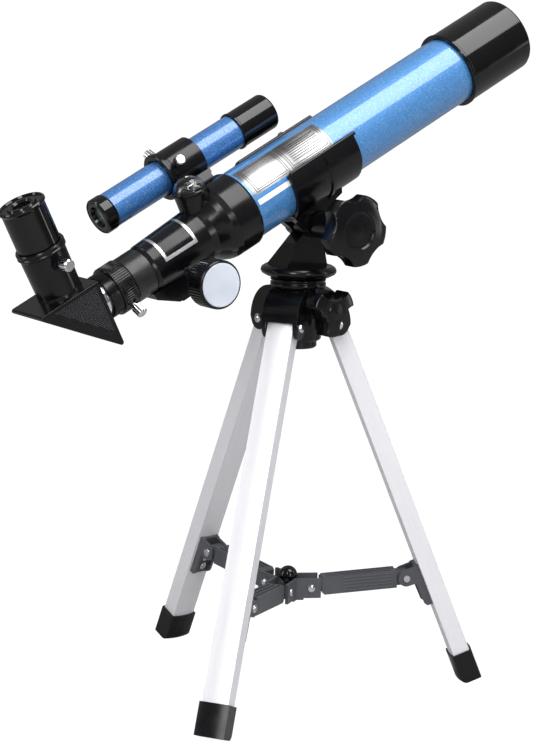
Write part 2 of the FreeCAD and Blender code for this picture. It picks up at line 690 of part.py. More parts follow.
def sector_tool(name, start_angle, end_angle, back, front):
    """Wedge about the tube axis, angles measured from the top, near side positive."""
    steps = 6
    points = [Vec(back, 0, 0)]
    for index in range(steps + 1):
        angle = math.radians(start_angle + (end_angle - start_angle) * index / steps)
        points.append(Vec(back, -80 * math.sin(angle), 80 * math.cos(angle)))
    points.append(points[0])
    feature = doc.addObject("Part::Extrusion", name)
    wire = doc.addObject("Part::Feature", name + "_outline")
    wire.Shape = Part.makePolygon(points)
    feature.Base = wire
    feature.Dir = X_AXIS
    feature.LengthFwd = front - back
    feature.Solid = True
    return feature


def tube_cradle():
    back = size("cradle_far_back")
    front = size("cradle_front")
    near_back = size("cradle_back")
    far_edge = size("cradle_far_edge")
    near_edge = size("cradle_near_edge")
    shell = turned("cradle_shell", [
        ("cradle_far_back", "cradle_bore"), ("cradle_far_back", ("cradle_radius", -0.3)),
        (("cradle_far_back", 0.5), "cradle_radius"), (12.5, "cradle_radius"), (13.2, "cradle_rib_radius"),
        (15.6, "cradle_rib_radius"), (16.3, "cradle_radius"), (("cradle_front", -0.5), "cradle_radius"),
        ("cradle_front", ("cradle_radius", -0.3)), ("cradle_front", "cradle_bore"),
    ])
    open_top = sector_tool("cradle_open", far_edge, near_edge, back - 1, front + 1)
    near_cut = sector_tool("cradle_near_cut", 60, 235, back - 1, near_back)
    step_cut = sector_tool("cradle_step_cut", far_edge - 9, far_edge + 7, back - 1, back + 10)
    skin = cut("cradle_skin", shell, [open_top, near_cut, step_cut])
    middle = (size("cradle_bore") + size("cradle_radius")) / 2 + 0.1
    beads = []
    rails = (("near", near_edge, near_back + 2, front + 2.5), ("far", far_edge, back + 10.5, front))
    for name, angle, start, end in rails:
        turn_angle = math.radians(angle)
        y = -middle * math.sin(turn_angle)
        z = middle * math.cos(turn_angle)
        bead = turned("cradle_bead_" + name, [(start, 0), (start, 0.8), (start + 0.7, 1.3),
                                              (end - 0.7, 1.3), (end, 0.8), (end, 0)])
        bead.Placement = spot(0, y, z)
        beads.append(bead)
    rise = size("axis_rise")
    radius = size("lug_radius")
    lug = plate("cradle_lug", [
        (-17, -20), (-14, -26.5), (-radius, -rise), (radius, -rise), (15, -27), (24, -25.2), (26, -20),
    ], "lug_width")
    lug_round = cross_pin("cradle_lug_round", "lug_radius", size("lug_width") / 2, (0, 0, "-axis_rise"))
    gap_half = size("lug_gap") / 2
    gap = box("cradle_gap", (-40, -gap_half, -60), (40, gap_half, -rise + size("yoke_eye_radius") + 0.4))
    bore = cylinder("cradle_bore_tool", "cradle_bore", 120, (-60, 0, 0), X_AXIS)
    hole = cross_pin("cradle_hole", "altitude_hole_radius", 20, (0, 0, "-axis_rise"))
    solid = fuse("cradle_solid", [skin, lug, lug_round] + beads)
    node(cut("tube_cradle", solid, [bore, hole, gap]), "tube_cradle", scope_frame())


# ---------------------------------------------------------------- main tube

def main_tube():
    tube = turned("main_tube", [
        ("tube_back", "tube_inner_radius"), ("tube_back", "tube_radius"),
        ("tube_front", "tube_radius"), ("tube_front", "tube_inner_radius"),
    ])
    node(tube, "main_tube", scope_frame())


def dew_shield():
    shield = turned("dew_shield", [
        ("shield_back", "shield_tube_bore"), ("shield_back", ("shield_lip_radius", -0.5)),
        (("shield_back", 0.6), "shield_lip_radius"), (("shield_back", 1.8), "shield_lip_radius"),
        (("shield_back", 2.6), "shield_radius"), (("shield_front", -1.6), "shield_radius"),
        (("shield_front", -0.4), ("shield_radius", -0.6)), ("shield_front", ("shield_radius", -1.3)),
        ("shield_front", "shield_bore"), ("tube_front", "shield_bore"),
        ("tube_front", "shield_tube_bore"),
    ])
    node(shield, "dew_shield", scope_frame())


def objective_cell():
    cell = turned("objective_cell", [
        ("cell_back", "cell_bore"), ("cell_back", "cell_radius"), ("cell_front", "cell_radius"),
        ("cell_front", 20.8), (("cell_front", -1.8), "cell_bore"), (("lens_front", 0.6), "cell_bore"),
        ("lens_front", "lens_radius"), ("lens_back", "lens_radius"),
        (("lens_back", -0.6), "cell_bore"),
    ])
    node(cell, "objective_cell", scope_frame())


def lens(name, back, front, radius, bulge):
    """Lens with both faces bowed outwards, turned about X."""
    steps = 5
    outline = [(back - bulge, 0)]
    for index in range(1, steps + 1):
        share = index / steps
        outline.append((back - bulge * (1 - share * share), radius * share))
    for index in range(steps, 0, -1):
        share = index / steps
        outline.append((front + bulge * (1 - share * share), radius * share))
    outline.append((front + bulge, 0))
    return turned(name, outline)


def objective_lens():
    glass = lens("objective_lens", size("lens_back") + 0.05, size("lens_front") - 0.05,
                 size("lens_radius") - 0.02, size("lens_bulge"))
    node(glass, "objective_lens", scope_frame())


# ---------------------------------------------------------------- focuser

def focuser_body():
    shell = turned("focuser_shell", [
        ("collar_front", "shield_tube_bore"), ("collar_front", ("collar_radius", -1.6)),
        (("collar_front", -0.8), ("collar_radius", -0.6)), (("collar_front", -2.2), "collar_radius"),
        ("collar_back", "collar_radius"), (("collar_back", -4.0), 24.4), (("collar_back", -7.5), 22.9),
        (("collar_back", -10.6), 20.8), (("collar_back", -13.5), 18.9), (("collar_back", -17.5), 17.7),
        (("collar_back", -27.0), 17.2), (-112.0, 16.1), (("focuser_back", 2.2), 15.7),
        (("focuser_back", 1.9), "focuser_back_radius"), ("focuser_back", ("focuser_back_radius", -0.4)),
        ("focuser_back", "focuser_bore"), (("collar_back", -16.0), "focuser_bore"),
        (("collar_back", -8.0), 19.0), (("collar_back", 1.0), 21.0), ("tube_back", 21.0),
        ("tube_back", "shield_tube_bore"),
    ])
    housing = plate("pinion_housing", [
        (-127.0, -13.8), (-126.0, -18.2), (-112.0, -27.5), (-87.0, -27.5), (-79.0, -18.5), (-77.0, -13.8),
    ], 18.0)
    pillar = turned("compass_pillar", [
        (-16.0, 0), (-16.0, 8.8), (-9.0, 9.4), (-3.0, 10.2), (0.0, "pillar_radius"), (0.0, 0),
    ])
    pillar.Placement = compass_local()
    bore = turned("focuser_hollow", [
        (-130.0, 0), (-130.0, ("stop_radius", 0.3)), ("focuser_back", ("stop_radius", 0.3)),
        ("focuser_back", "focuser_bore"), (("collar_back", -16.0), "focuser_bore"),
        (("collar_back", -8.0), 19.0), (("collar_back", 1.0), 21.0), ("tube_back", 21.0),
        ("tube_back", "shield_tube_bore"), (-40.0, "shield_tube_bore"), (-40.0, 0),
    ])
    compass_seat = cylinder("compass_seat", ("compass_radius", 0.02), 6)
    compass_seat.Placement = compass_local().multiply(spot(0, 0, 0, along(X_AXIS)))
    rack_slot = box("rack_slot", (-130, -3.2, -16.0), (-70, 3.2, 0))
    shaft = cross_pin("pinion_bearing", 2.06, 20, ("pinion_u", 0, "pinion_v"))
    well = cross_pin("pinion_well", 5.0, 6.0, ("pinion_u", 0, "pinion_v"))
    solid = fuse("focuser_solid", [shell, housing, pillar])
    tools = [bore, compass_seat, rack_slot, shaft, well]
    node(cut("focuser_body", solid, tools), "focuser_body", scope_frame())


def pinion_cover():
    cover = plate("pinion_cover_form", [
        (-110.5, -27.5), (-109.0, -29.0), (-90.0, -29.0), (-88.5, -27.5),
    ], 15.0)
    screws = []
    for index, x in enumerate((-106.0, -92.0)):
        head = turned("cover_screw_%d" % index, [(29.0, 0), (29.0, 2.0), (29.7, 1.7), (30.0, 0.8), (30.0, 0)])
        head.Placement = spot(x, 0, 0, turn(Y_AXIS, 90))
        screws.append(head)
    node(fuse("pinion_cover", [cover] + screws), "pinion_cover", scope_frame())


def compass_local():
    """X runs up the compass axis."""
    tilt = turn(Y_AXIS, -90 + size("compass_tilt"))
    return spot(size("compass_u"), 0, size("compass_v"), tilt)


def compass_frame():
    return scope_frame().multiply(compass_local())


def compass_base():
    base = turned("compass_ring", [
        (0.0, 0), (0.0, ("compass_radius", -0.8)), (0.8, "compass_radius"), (2.2, "compass_radius"),
        (2.8, ("compass_radius", -0.5)), (2.8, ("dome_radius", 0.03)), (1.6, ("dome_radius", 0.03)),
        (1.6, 9.4), (1.0, 9.4), (1.0, 0),
    ])
    pin = cylinder("compass_pin", 0.5, 3.0, (0.5, 0, 0), X_AXIS)
    node(fuse("compass_base", [base, pin]), "compass_base", compass_frame())


def compass_dome():
    outer = size("dome_radius")
    outline = [(1.6, outer)]
    inner = [(1.6, outer - 0.9)]
    for index in range(1, 9):
        angle = math.radians(90.0 * index / 8)
        outline.append((1.6 + 9.6 * math.sin(angle), outer * math.cos(angle)))
        inner.append((1.6 + 8.7 * math.sin(angle), (outer - 0.9) * math.cos(angle)))
    outline[-1] = (outline[-1][0], 0)
    inner[-1] = (inner[-1][0], 0)
    node(turned("compass_dome", outline + inner[::-1]), "compass_dome", compass_frame())


def compass_card():
    card = turned("compass_card_disc", [
        (2.1, 0.56), (2.1, "card_radius"), (3.6, ("card_radius", -0.2)), (3.6, ("card_radius", -1.4)),
        (2.7, ("card_radius", -1.6)), (2.7, 0.56),
    ])
    hub = turned("compass_card_hub", [(2.6, 0.56), (2.6, 2.0), (4.4, 1.2), (4.4, 0), (3.56, 0), (3.56, 0.56)])
    node(fuse("compass_card", [card, hub]), "compass_card", compass_frame())


def drawtube():
    tube = turned("drawtube_shell", [
        ("ring_back", "drawtube_bore"), ("ring_back", ("ring_bore", -0.02)),
        ("ring_front", ("ring_bore", -0.02)), ("ring_front", ("stop_radius", -0.5)),
        (("ring_front", 0.5), "stop_radius"), (("stop_front", -0.4), "stop_radius"),
        ("stop_front", ("stop_radius", -0.4)), ("stop_front", "drawtube_radius"),
        ("drawtube_front", "drawtube_radius"), ("drawtube_front", "drawtube_bore"),
    ])
    flat = box("drawtube_flat", (-122.8, -2.8, -20), (-40, 2.8, "rack_top"))
    hole = screw_hole("drawtube_hole", 1.55)
    node(cut("drawtube", tube, [flat, hole]), "drawtube", scope_frame())


def focus_rack():
    bar = box("rack_bar", (-122.7, -2.8, "rack_bottom"), ("drawtube_front", 2.8, "rack_top"))
    grooves = []
    for index in range(49):
        x = -121.5 + index * 1.5
        groove = box("rack_groove_%d" % index, (x, -4, -15), (x + 0.7, 4, -14.0))
        grooves.append(groove)
    node(cut("focus_rack", bar, grooves), "focus_rack", scope_frame())


def side_screw_frame():
    """X runs out along the drawtube thumb screw."""
    place = spot(-144.0, 0, 0, turn(X_AXIS, 128.0))
    return place.multiply(spot(0, 0, 0, turn(Y_AXIS, -90)))


def screw_hole(name, radius):
    hole = cylinder(name, radius, 40, (0, 0, 0), X_AXIS)
    hole.Placement = side_screw_frame().multiply(hole.Placement)
    return hole


def drawtube_collar():
    ring = turned("drawtube_ring", [
        ("ring_back", "ring_bore"), ("ring_back", ("ring_radius", -0.7)), (("ring_back", 0.7), "ring_radius"),
        (("ring_front", -0.7), "ring_radius"), ("ring_front", ("ring_radius", -0.7)),
        ("ring_front", "ring_bore"),
    ])
    sleeve = turned("drawtube_sleeve", [
        ("sleeve_back", 12.26), ("sleeve_back", ("sleeve_radius", -0.6)),
        (("sleeve_back", 0.6), "sleeve_radius"), ("ring_back", "sleeve_radius"),
        ("ring_back", 12.26),
    ])
    solid = fuse("drawtube_collar_solid", [ring, sleeve])
    node(cut("drawtube_collar", solid, [screw_hole("collar_hole", 1.55)]), "drawtube_collar", scope_frame())


def thumb_screw(name, tip, seat, head, head_radius):
    """Thumb screw along X with a barrel head from 'seat' to 'head'."""
    shank = cylinder(name + "_shank", "small_screw_radius", seat - tip + 1, (tip, 0, 0), X_AXIS)
    barrel = turned(name + "_barrel", [
        (seat, 0), (seat, 2.0), (seat + 1.4, 2.0), (seat + 1.9, head_radius - 0.4),
        (seat + 2.4, head_radius), (head - 0.8, head_radius), (head, head_radius - 0.9), (head, 0),
    ])
    grooves = []
    for index, angle in enumerate(ring_of(12)):
        y = (head_radius + 0.25) * math.cos(math.radians(angle))
        z = (head_radius + 0.25) * math.sin(math.radians(angle))
        groove = cylinder("%s_groove_%d" % (name, index), 0.55, head - seat, (seat + 1.9, y, z), X_AXIS)
        grooves.append(groove)
    return cut(name, fuse(name + "_solid", [shank, barrel]), grooves)


def drawtube_screw():
    screw = thumb_screw("drawtube_screw", 12.4, 16.2, 25.0, 3.5)
    node(screw, "drawtube_screw", scope_frame().multiply(side_screw_frame()))


def pinion_frame():
    """X runs towards the near side, along the focusing axis."""
    place = spot(size("pinion_u"), 0, size("pinion_v"), turn(Z_AXIS, -90))
    return scope_frame().multiply(place)


def focus_pinion():
    half = size("pinion_shaft_half")
    shaft = cylinder("focus_shaft", "pinion_shaft_radius", 2 * half, (-half, 0, 0), X_AXIS)
    gear = turned("focus_gear", [
        ("-pinion_half", 0), ("-pinion_half", "pinion_radius"), ("pinion_half", "pinion_radius"),
        ("pinion_half", 0),
    ])
    gaps = []
    for index, angle in enumerate(ring_of(14)):
        y = 4.1 * math.cos(math.radians(angle))
        z = 4.1 * math.sin(math.radians(angle))
        gap = cylinder("focus_gear_gap_%d" % index, 0.5, 12, (-6, y, z), X_AXIS)
        gaps.append(gap)
    node(fuse("focus_pinion", [shaft, cut("focus_gear_cut", gear, gaps)]), "focus_pinion", pinion_frame())


def focus_knob(label, side):
    near = size("knob_near")
    far = size("knob_far")
    radius = size("knob_radius")
    wheel = turned(label + "_wheel", [
        (near, 2.02), (near, 8.0), (near + 1.0, 10.5), (near + 1.0, radius - 1.0), (near + 2.0, radius),
        (far - 1.4, radius), (far - 0.3, radius - 0.7), (far, radius - 1.2), (far, 13.55), (far - 0.8, 13.55),
        (far - 0.8, 2.02),
    ])
    boss = turned(label + "_boss", [(near - 8, 2.02), (near - 8, 4.6), (near, 5.4), (near, 2.02)])
    turned_side = turn(Z_AXIS, 0 if side > 0 else 180)
    whole = fuse(label, [wheel, boss])
    node(whole, label, pinion_frame().multiply(spot(0, 0, 0, turned_side)))


def focus_knob_caps():
    far = size("knob_far")
    caps = []
    for side in (1, -1):
        cap = turned("cap_%s" % ("near" if side > 0 else "far"), [
            (far - 0.8, 0), (far - 0.8, "cap_radius"), (far + 0.1, "cap_radius"),
            (far + 0.3, ("cap_radius", -0.4)), (far + 0.3, 0),
        ])
        cap.Placement = spot(0, 0, 0, turn(Z_AXIS, 0 if side > 0 else 180))
        caps.append(cap)
    node(fuse("focus_knob_caps", caps), "focus_knob_caps", pinion_frame())


# ---------------------------------------------------------------- finder

def finder_bracket():
    back = size("bracket_ring_back")
    front = size("bracket_ring_front")
    ring = turned("finder_ring", [
        (back, 12.3), (back, 15.3), (back + 0.5, 15.8), (back + 2.4, 15.8), (back + 2.9, 15.3),
        (back + 3.0, 14.2), (back + 5.0, 14.2), (back + 5.4, "bracket_ring_radius"),
        (front - 0.5, "bracket_ring_radius"), (front, ("bracket_ring_radius", -0.5)), (front, 12.3),
    ])
    distance = math.hypot(size("finder_n"), size("finder_v"))
    lean = math.degrees(math.atan2(size("finder_n"), size("finder_v")))
    stalk = plate("finder_stalk", [
        (back, -13.0), (front + 1, -13.0), (front + 0.5, -distance + 29), (-46.0, -distance + 25.4),
        (-46.0, -distance + 24.0), (back + 8, -distance + 24.0), (back + 3, -distance + 27.5),
    ], 9.0)
    foot = plate("finder_foot", [
        (-66.0, -distance + 24.0), (-66.0, -distance + 27.4), (-46.2, -distance + 27.4),
        (-46.2, -distance + 24.0),
    ], 17.0)
    for item in (stalk, foot):
        item.Placement = spot(0, 0, 0, turn(X_AXIS, -lean))
    bore = cylinder("finder_ring_bore", "bracket_ring_bore", 60, (-90, 0, 0), X_AXIS)
    collar = cylinder("finder_foot_bore", ("collar_radius", 0.02), 60, (-90, 0, 0), X_AXIS)
    collar.Placement = spot(-90, -size("finder_n"), -size("finder_v"), along(X_AXIS))
    tools = [bore, collar]
    for index, angle in enumerate((60, 180, 300)):
        hole = cylinder("finder_hole_%d" % index, 1.55, 30, (0, 0, 0), X_AXIS)
        hole.Placement = finder_screw_local(angle).multiply(hole.Placement)
        tools.append(hole)
    solid = fuse("finder_bracket_solid", [ring, stalk, foot])
    node(cut("finder_bracket", solid, tools), "finder_bracket", finder_frame())


def finder_screw_local(angle):
    """X runs outwards at an angle from the top, near side positive."""
    place = spot(size("finder_screw_u"), 0, 0, turn(X_AXIS, angle))
    return place.multiply(spot(0, 0, 0, turn(Y_AXIS, -90)))


def finder_screws():
    for index, angle in enumerate((60, 180, 300)):
        label = "finder_screw_%d" % (index + 1)
        screw = thumb_screw(label, 11.36, 14.8, 22.5, 3.5)
        node(screw, label, finder_frame().multiply(finder_screw_local(angle)))


def finder_tube():
    tube = turned("finder_tube", [
        ("finder_back", "finder_bore"), ("finder_back", "finder_radius"), ("finder_front", "finder_radius"),
        ("finder_front", "finder_bore"),
    ])
    node(tube, "finder_tube", finder_frame())


def finder_shade():
    shade = turned("finder_shade", [
        ("shade_back", ("finder_radius", 0.03)), ("shade_back", ("shade_radius", 0.1)),
        (("shade_back", 0.5), ("shade_radius", 0.5)), (("shade_back", 1.6), ("shade_radius", 0.5)),
        (("shade_back", 2.2), "shade_radius"), (("shade_front", -1.2), "shade_radius"),
        (("shade_front", -0.2), ("shade_radius", -0.4)), ("shade_front", ("shade_radius", -0.7)),
        ("shade_front", 11.0), ("finder_front", 11.0), ("finder_front", ("finder_radius", 0.03)),
    ])
    node(shade, "finder_shade", finder_frame())


def finder_objective():
    cell = turned("finder_cell", [("finder_front", 9.8), ("finder_front", 10.95), (3.0, 10.95), (3.0, 9.8)])
    glass = lens("finder_glass", -1.2, 1.8, 9.85, 0.6)
    node(fuse("finder_objective", [cell, glass]), "finder_objective", finder_frame())


def finder_eyepiece():
    back = size("finder_eye_back")
    ring = turned("finder_eye_ring", [
        (back, 7.2), (back, 9.6), (back + 0.5, 10.0), (back + 0.5, 10.5), (back, 10.8), (back, 11.2),
        (back + 0.8, "finder_eye_radius"), (back + 7.2, "finder_eye_radius"),
        (back + 8.2, ("finder_eye_radius", -0.6)), (back + 8.2, 9.0), (back + 4.6, 8.0),
        (back + 4.6, 7.6), (back + 2.4, 7.6), (back + 2.4, 6.4), (back + 1.6, 6.4),
    ])
    stub = turned("finder_eye_stub", [
        (back + 8.0, 9.0), (back + 8.0, 10.25), (back + 12.0, 10.25), (back + 12.0, 9.0),
    ])
    node(fuse("finder_eyepiece", [ring, stub]), "finder_eyepiece", finder_frame())


def finder_eye_lens():
    back = size("finder_eye_back")
    glass = lens("finder_eye_lens", back + 2.9, back + 4.3, 7.55, 0.35)
    node(glass, "finder_eye_lens", finder_frame())


# ---------------------------------------------------------------- diagonal and eyepiece

def diagonal_body():
    front = size("diagonal_front")
    top = size("diagonal_top")
    side = size("diagonal_side")
    block = plate("diagonal_block", [
        (front, top), (front - side + 1.2, top), (front - side, top - 0.9), (front - side, top - 2.2),
        (front - 2.2, top - side), (front - 0.9, top - side), (front, top - side + 1.2),
    ], 32.0)
    holder = turned("eyepiece_holder", [
        (top - 1, 0), (top - 1, 14.2), (top, 14.2), (top + 2, 13.9), (45.6, "holder_radius"),
        (45.8, 14.9), (46.4, "holder_bead"), (47.2, "holder_bead"), (47.8, 14.9), (48.1, 14.9),
        (48.6, "holder_bead"), (49.6, "holder_bead"), ("holder_top", 14.9), ("holder_top", 0),
    ])
    holder.Placement = spot(size("eye_axis_u"), 0, 0, turn(Y_AXIS, -90))
    boss = cylinder("holder_boss", 4.4, 18.4, (0, 0, 0), X_AXIS)
    boss.Placement = diagonal_screw_local().multiply(boss.Placement)
    bore = cylinder("holder_bore", "holder_bore", 60, (0, 0, 0))
    bore.Placement = spot(size("eye_axis_u"), 0, -4)
    light = cylinder("diagonal_light", 11.0, 26, (front - 24, 0, 0), X_AXIS)
    hole = cylinder("diagonal_hole", 1.55, 40, (0, 0, 0), X_AXIS)
    hole.Placement = diagonal_screw_local().multiply(hole.Placement)
    mirror_seat = plate("diagonal_seat", [
        (front - side + 6, top - 6), (front - 6, top - side + 6), (front - 6, top - side + 10),
        (front - side + 10, top - 6),
    ], 26.0)
    solid = fuse("diagonal_solid", [block, holder, boss])
    hollow = cut("diagonal_hollow", solid, [bore, light, hole, mirror_seat])
    back_wall = plate("diagonal_back_wall", [
        (front - side, top - 2.2), (front - 2.2, top - side), (front - 1.15, top - side + 1.05),
        (front - side + 1.05, top - 1.15),
    ], 32.0)
    node(fuse("diagonal_body", [hollow, back_wall]), "diagonal_body", scope_frame())


def diagonal_screw_local():
    """X runs towards the near side, through the holder wall."""
    return spot(size("eye_axis_u"), 0, 40.0, turn(Z_AXIS, -90))


def diagonal_screw():
    screw = thumb_screw("diagonal_screw", 13.75, 18.6, 28.0, 3.7)
    node(screw, "diagonal_screw", scope_frame().multiply(diagonal_screw_local()))


def diagonal_side_plates():
    front = size("diagonal_front")
    top = size("diagonal_top")
    side = size("diagonal_side")
    plates = []
    for name, y in (("near", -16.93), ("far", 16.93)):
        outline = [
            (front, top), (front - side + 1.2, top), (front - side, top - 0.9), (front - side, top - 2.2),
            (front - 2.2, top - side), (front - 0.9, top - side), (front, top - side + 1.2),
        ]
        skin = plate("side_plate_" + name, outline, 1.85)
        recess = plate("side_recess_" + name, [
            (front - 1.8, top - 1.8), (front - side + 6.2, top - 1.8), (front - 1.8, top - side + 6.2),
        ], 0.8)
        recess.Placement = spot(0, math.copysign(0.93, y), 0)
        whole = cut("side_cut_" + name, skin, [recess])
        whole.Placement = spot(0, y, 0)
        plates.append(whole)
    node(fuse("diagonal_side_plates", plates), "diagonal_side_plates", scope_frame())


def diagonal_nose():
    nose = turned("diagonal_nose", [
        ("diagonal_front", "nose_bore"), ("diagonal_front", "nose_radius"),
        (("nose_front", -0.8), "nose_radius"), ("nose_front", ("nose_radius", -0.8)),
        ("nose_front", "nose_bore"),
    ])
    node(nose, "diagonal_nose", scope_frame())


def diagonal_mirror():
    front = size("diagonal_front")
    top = size("diagonal_top")
    side = size("diagonal_side")
    mirror = plate("diagonal_mirror", [
        (front - side + 6.3, top - 6.3), (front - 6.3, top - side + 6.3), (front - 6.3, top - side + 8.6),
        (front - side + 8.6, top - 6.3),
    ], 25.8)
    node(mirror, "diagonal_mirror", scope_frame())


def eyepiece_body():
    barrel = turned("eyepiece_barrel", [
        ("barrel_bottom", 10.6), ("barrel_bottom", ("barrel_radius", -0.5)),
        (("barrel_bottom", 0.5), "barrel_radius"), ("holder_top", "barrel_radius"),
        ("holder_top", ("eyepiece_radius", -0.5)), (("holder_top", 0.6), "eyepiece_radius"),
        (("eyepiece_top", -3.4), "eyepiece_radius"), (("eyepiece_top", -2.6), ("eyepiece_flange", -0.5)),
        (("eyepiece_top", -2.0), "eyepiece_flange"), (("eyepiece_top", -0.9), "eyepiece_flange"),
        (("eyepiece_top", -0.2), ("eyepiece_flange", -0.6)), ("eyepiece_top", ("eyepiece_flange", -1.5)),
        (("eyepiece_top", -1.2), 12.5), (("eyepiece_top", -1.5), 9.4), (("eyepiece_top", -0.5), 8.9),
        (("eyepiece_top", -0.4), 7.0), (("eyepiece_top", -1.6), 5.6),
        (("eyepiece_top", -4.0), 5.6), (("eyepiece_top", -4.0), 6.0), (("eyepiece_top", -10.0), 6.0),
        (("eyepiece_top", -10.0), 9.0), (("holder_top", 2.0), 9.0), (("holder_top", 2.0), 10.6),
    ])
    node(barrel, "eyepiece_body", eyepiece_frame())


def eyepiece_lenses():
    top = size("eyepiece_top")
    eye = lens("eye_glass", top - 7.6, top - 5.0, 5.96, 0.5)
    field = lens("field_glass", 45.0, 48.0, 10.5, 0.8)
    node(fuse("eyepiece_lenses", [eye, field]), "eyepiece_lenses", eyepiece_frame())


def build_all():
    tripod_hub()
    center_post()
    leg_pivot_screws()
    azimuth_lock_knob()
    for number in range(3):
        leg_tube(number)
        leg_foot(number)
        brace_bracket(number)
        brace_screws(number)
        brace_arm(number)
    spreader_hub()
    spreader_ball()
    spreader_rivets()
    yoke()
    altitude_knob()
    altitude_bolt()
    tube_cradle()
    main_tube()
    dew_shield()
    objective_cell()
    objective_lens()
    focuser_body()
    pinion_cover()
    compass_base()
    compass_dome()
    compass_card()
    drawtube()
    focus_rack()
    drawtube_collar()
    drawtube_screw()
    focus_pinion()
    focus_knob("focus_knob_near", 1)
    focus_knob("focus_knob_far", -1)
    focus_knob_caps()
    finder_bracket()
    finder_screws()
    finder_tube()
    finder_shade()
    finder_objective()
    finder_eyepiece()
    finder_eye_lens()
    diagonal_body()
    diagonal_screw()
    diagonal_side_plates()
    diagonal_nose()
    diagonal_mirror()
    eyepiece_body()
    eyepiece_lenses()


def write_all():
    bad = [item.Name for item in doc.Objects if "Invalid" in item.State or "Error" in item.State]
    if bad:
        raise RuntimeError("features in error: " + ", ".join(bad))
    os.makedirs("parts", exist_ok=True)
    for feature in NODES:
        shape = feature.Shape
        if shape.isNull() or not shape.isValid():
            raise RuntimeError("bad shape: " + feature.Label)
        shape.exportStep(os.path.join("parts", feature.Label + ".step"))
        print("%s %d solids %.0f mm3" % (feature.Label, len(shape.Solids), shape.Volume))


build_all()
doc.recompute()
write_all()
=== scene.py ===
import json
import math

import bmesh
import bpy
from mathutils import Matrix, Vector


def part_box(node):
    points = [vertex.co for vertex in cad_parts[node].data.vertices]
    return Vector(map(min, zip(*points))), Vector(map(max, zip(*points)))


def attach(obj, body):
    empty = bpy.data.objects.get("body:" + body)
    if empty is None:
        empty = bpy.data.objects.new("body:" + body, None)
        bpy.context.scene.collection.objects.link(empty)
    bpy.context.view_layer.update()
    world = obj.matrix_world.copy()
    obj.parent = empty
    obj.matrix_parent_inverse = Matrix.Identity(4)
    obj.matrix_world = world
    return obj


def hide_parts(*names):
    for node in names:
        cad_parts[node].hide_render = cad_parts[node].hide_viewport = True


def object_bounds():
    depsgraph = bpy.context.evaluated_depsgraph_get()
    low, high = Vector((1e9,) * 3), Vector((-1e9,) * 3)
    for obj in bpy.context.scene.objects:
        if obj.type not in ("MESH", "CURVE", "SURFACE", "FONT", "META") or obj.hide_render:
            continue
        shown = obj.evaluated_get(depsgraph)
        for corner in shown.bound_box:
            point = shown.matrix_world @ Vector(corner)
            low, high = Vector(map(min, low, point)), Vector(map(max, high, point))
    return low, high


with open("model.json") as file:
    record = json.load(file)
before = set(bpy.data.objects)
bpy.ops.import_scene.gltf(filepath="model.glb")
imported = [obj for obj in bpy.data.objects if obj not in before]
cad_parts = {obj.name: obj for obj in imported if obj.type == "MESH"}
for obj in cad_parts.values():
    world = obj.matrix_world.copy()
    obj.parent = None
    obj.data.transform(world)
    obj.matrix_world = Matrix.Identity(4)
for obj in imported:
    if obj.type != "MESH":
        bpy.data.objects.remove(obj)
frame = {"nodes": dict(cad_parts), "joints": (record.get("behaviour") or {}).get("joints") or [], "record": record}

MM = 0.001
CAD_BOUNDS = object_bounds()
NODES = frame["nodes"]
JOINTS = {joint["name"]: joint for joint in frame["joints"]}
UP = Vector((0, 0, 1))


# ------------------------------------------------------------- frames of the object

def joint_axis(name):
    return Vector(JOINTS[name]["axis"]).normalized()


def joint_place(name):
    return Vector(JOINTS[name]["pos_m"])


def frame_matrix(origin, x_axis, y_axis, z_axis):
    matrix = Matrix((x_axis, y_axis, z_axis)).transposed().to_4x4()
    matrix.translation = origin
    return matrix


def facing(origin, direction):
    """Frame whose X axis runs along a direction and whose Z axis is as upright as it can be."""
    x_axis = Vector(direction).normalized()
    y_axis = UP.cross(x_axis)
    if y_axis.length < 0.01:
        y_axis = Vector((0, 1, 0)).cross(x_axis)
    y_axis.normalize()
    return frame_matrix(origin, x_axis, y_axis, x_axis.cross(y_axis))


AXIS_RISE = 35 * MM
TUBE_FORWARD = -joint_axis("focus_slide")
TUBE_UP = joint_axis("eyepiece_slide")
TUBE_SIDE = TUBE_UP.cross(TUBE_FORWARD)
SCOPE_ORIGIN = joint_place("altitude_tilt") + TUBE_UP * AXIS_RISE
SCOPE = frame_matrix(SCOPE_ORIGIN, TUBE_FORWARD, TUBE_SIDE, TUBE_UP)
FOCUS_FRAME = frame_matrix(joint_place("focus_knob_turn"), Vector((0, -1, 0)), TUBE_FORWARD, TUBE_UP)


# ------------------------------------------------------------- mesh helpers

def lathe(bm, profile, steps=96, start=0.0, sweep=360.0, ripple=None):
    """Turn (station, radius) pairs in millimetres about X; ripple adds to the radius."""
    closed = sweep > 359.9
    rings = []
    count = steps if closed else steps + 1
    for index in range(count):
        angle = math.radians(start + sweep * index / steps)
        ring = []
        for station, radius in profile:
            turned = radius + (ripple(angle, station) if ripple else 0.0)
            ring.append(bm.verts.new((station * MM, -turned * math.sin(angle) * MM,
                                      turned * math.cos(angle) * MM)))
        rings.append(ring)
    for index in range(steps):
        here = rings[index]
        there = rings[(index + 1) % count]
        for j in range(len(profile)):
            k = (j + 1) % len(profile)
            bm.faces.new((here[j], there[j], there[k], here[k]))
    if not closed:
        bm.faces.new(rings[0])
        bm.faces.new(rings[-1][::-1])


def add_ring(bm, points):
    return [bm.verts.new(point * MM) for point in points]


def close_prism(bm, bottom, top):
    """Close both ends of two matching rings and join them by side faces."""
    bm.faces.new(top)
    bm.faces.new(bottom[::-1])
    for j in range(len(bottom)):
        k = (j + 1) % len(bottom)
        bm.faces.new((bottom[j], bottom[k], top[k], top[j]))


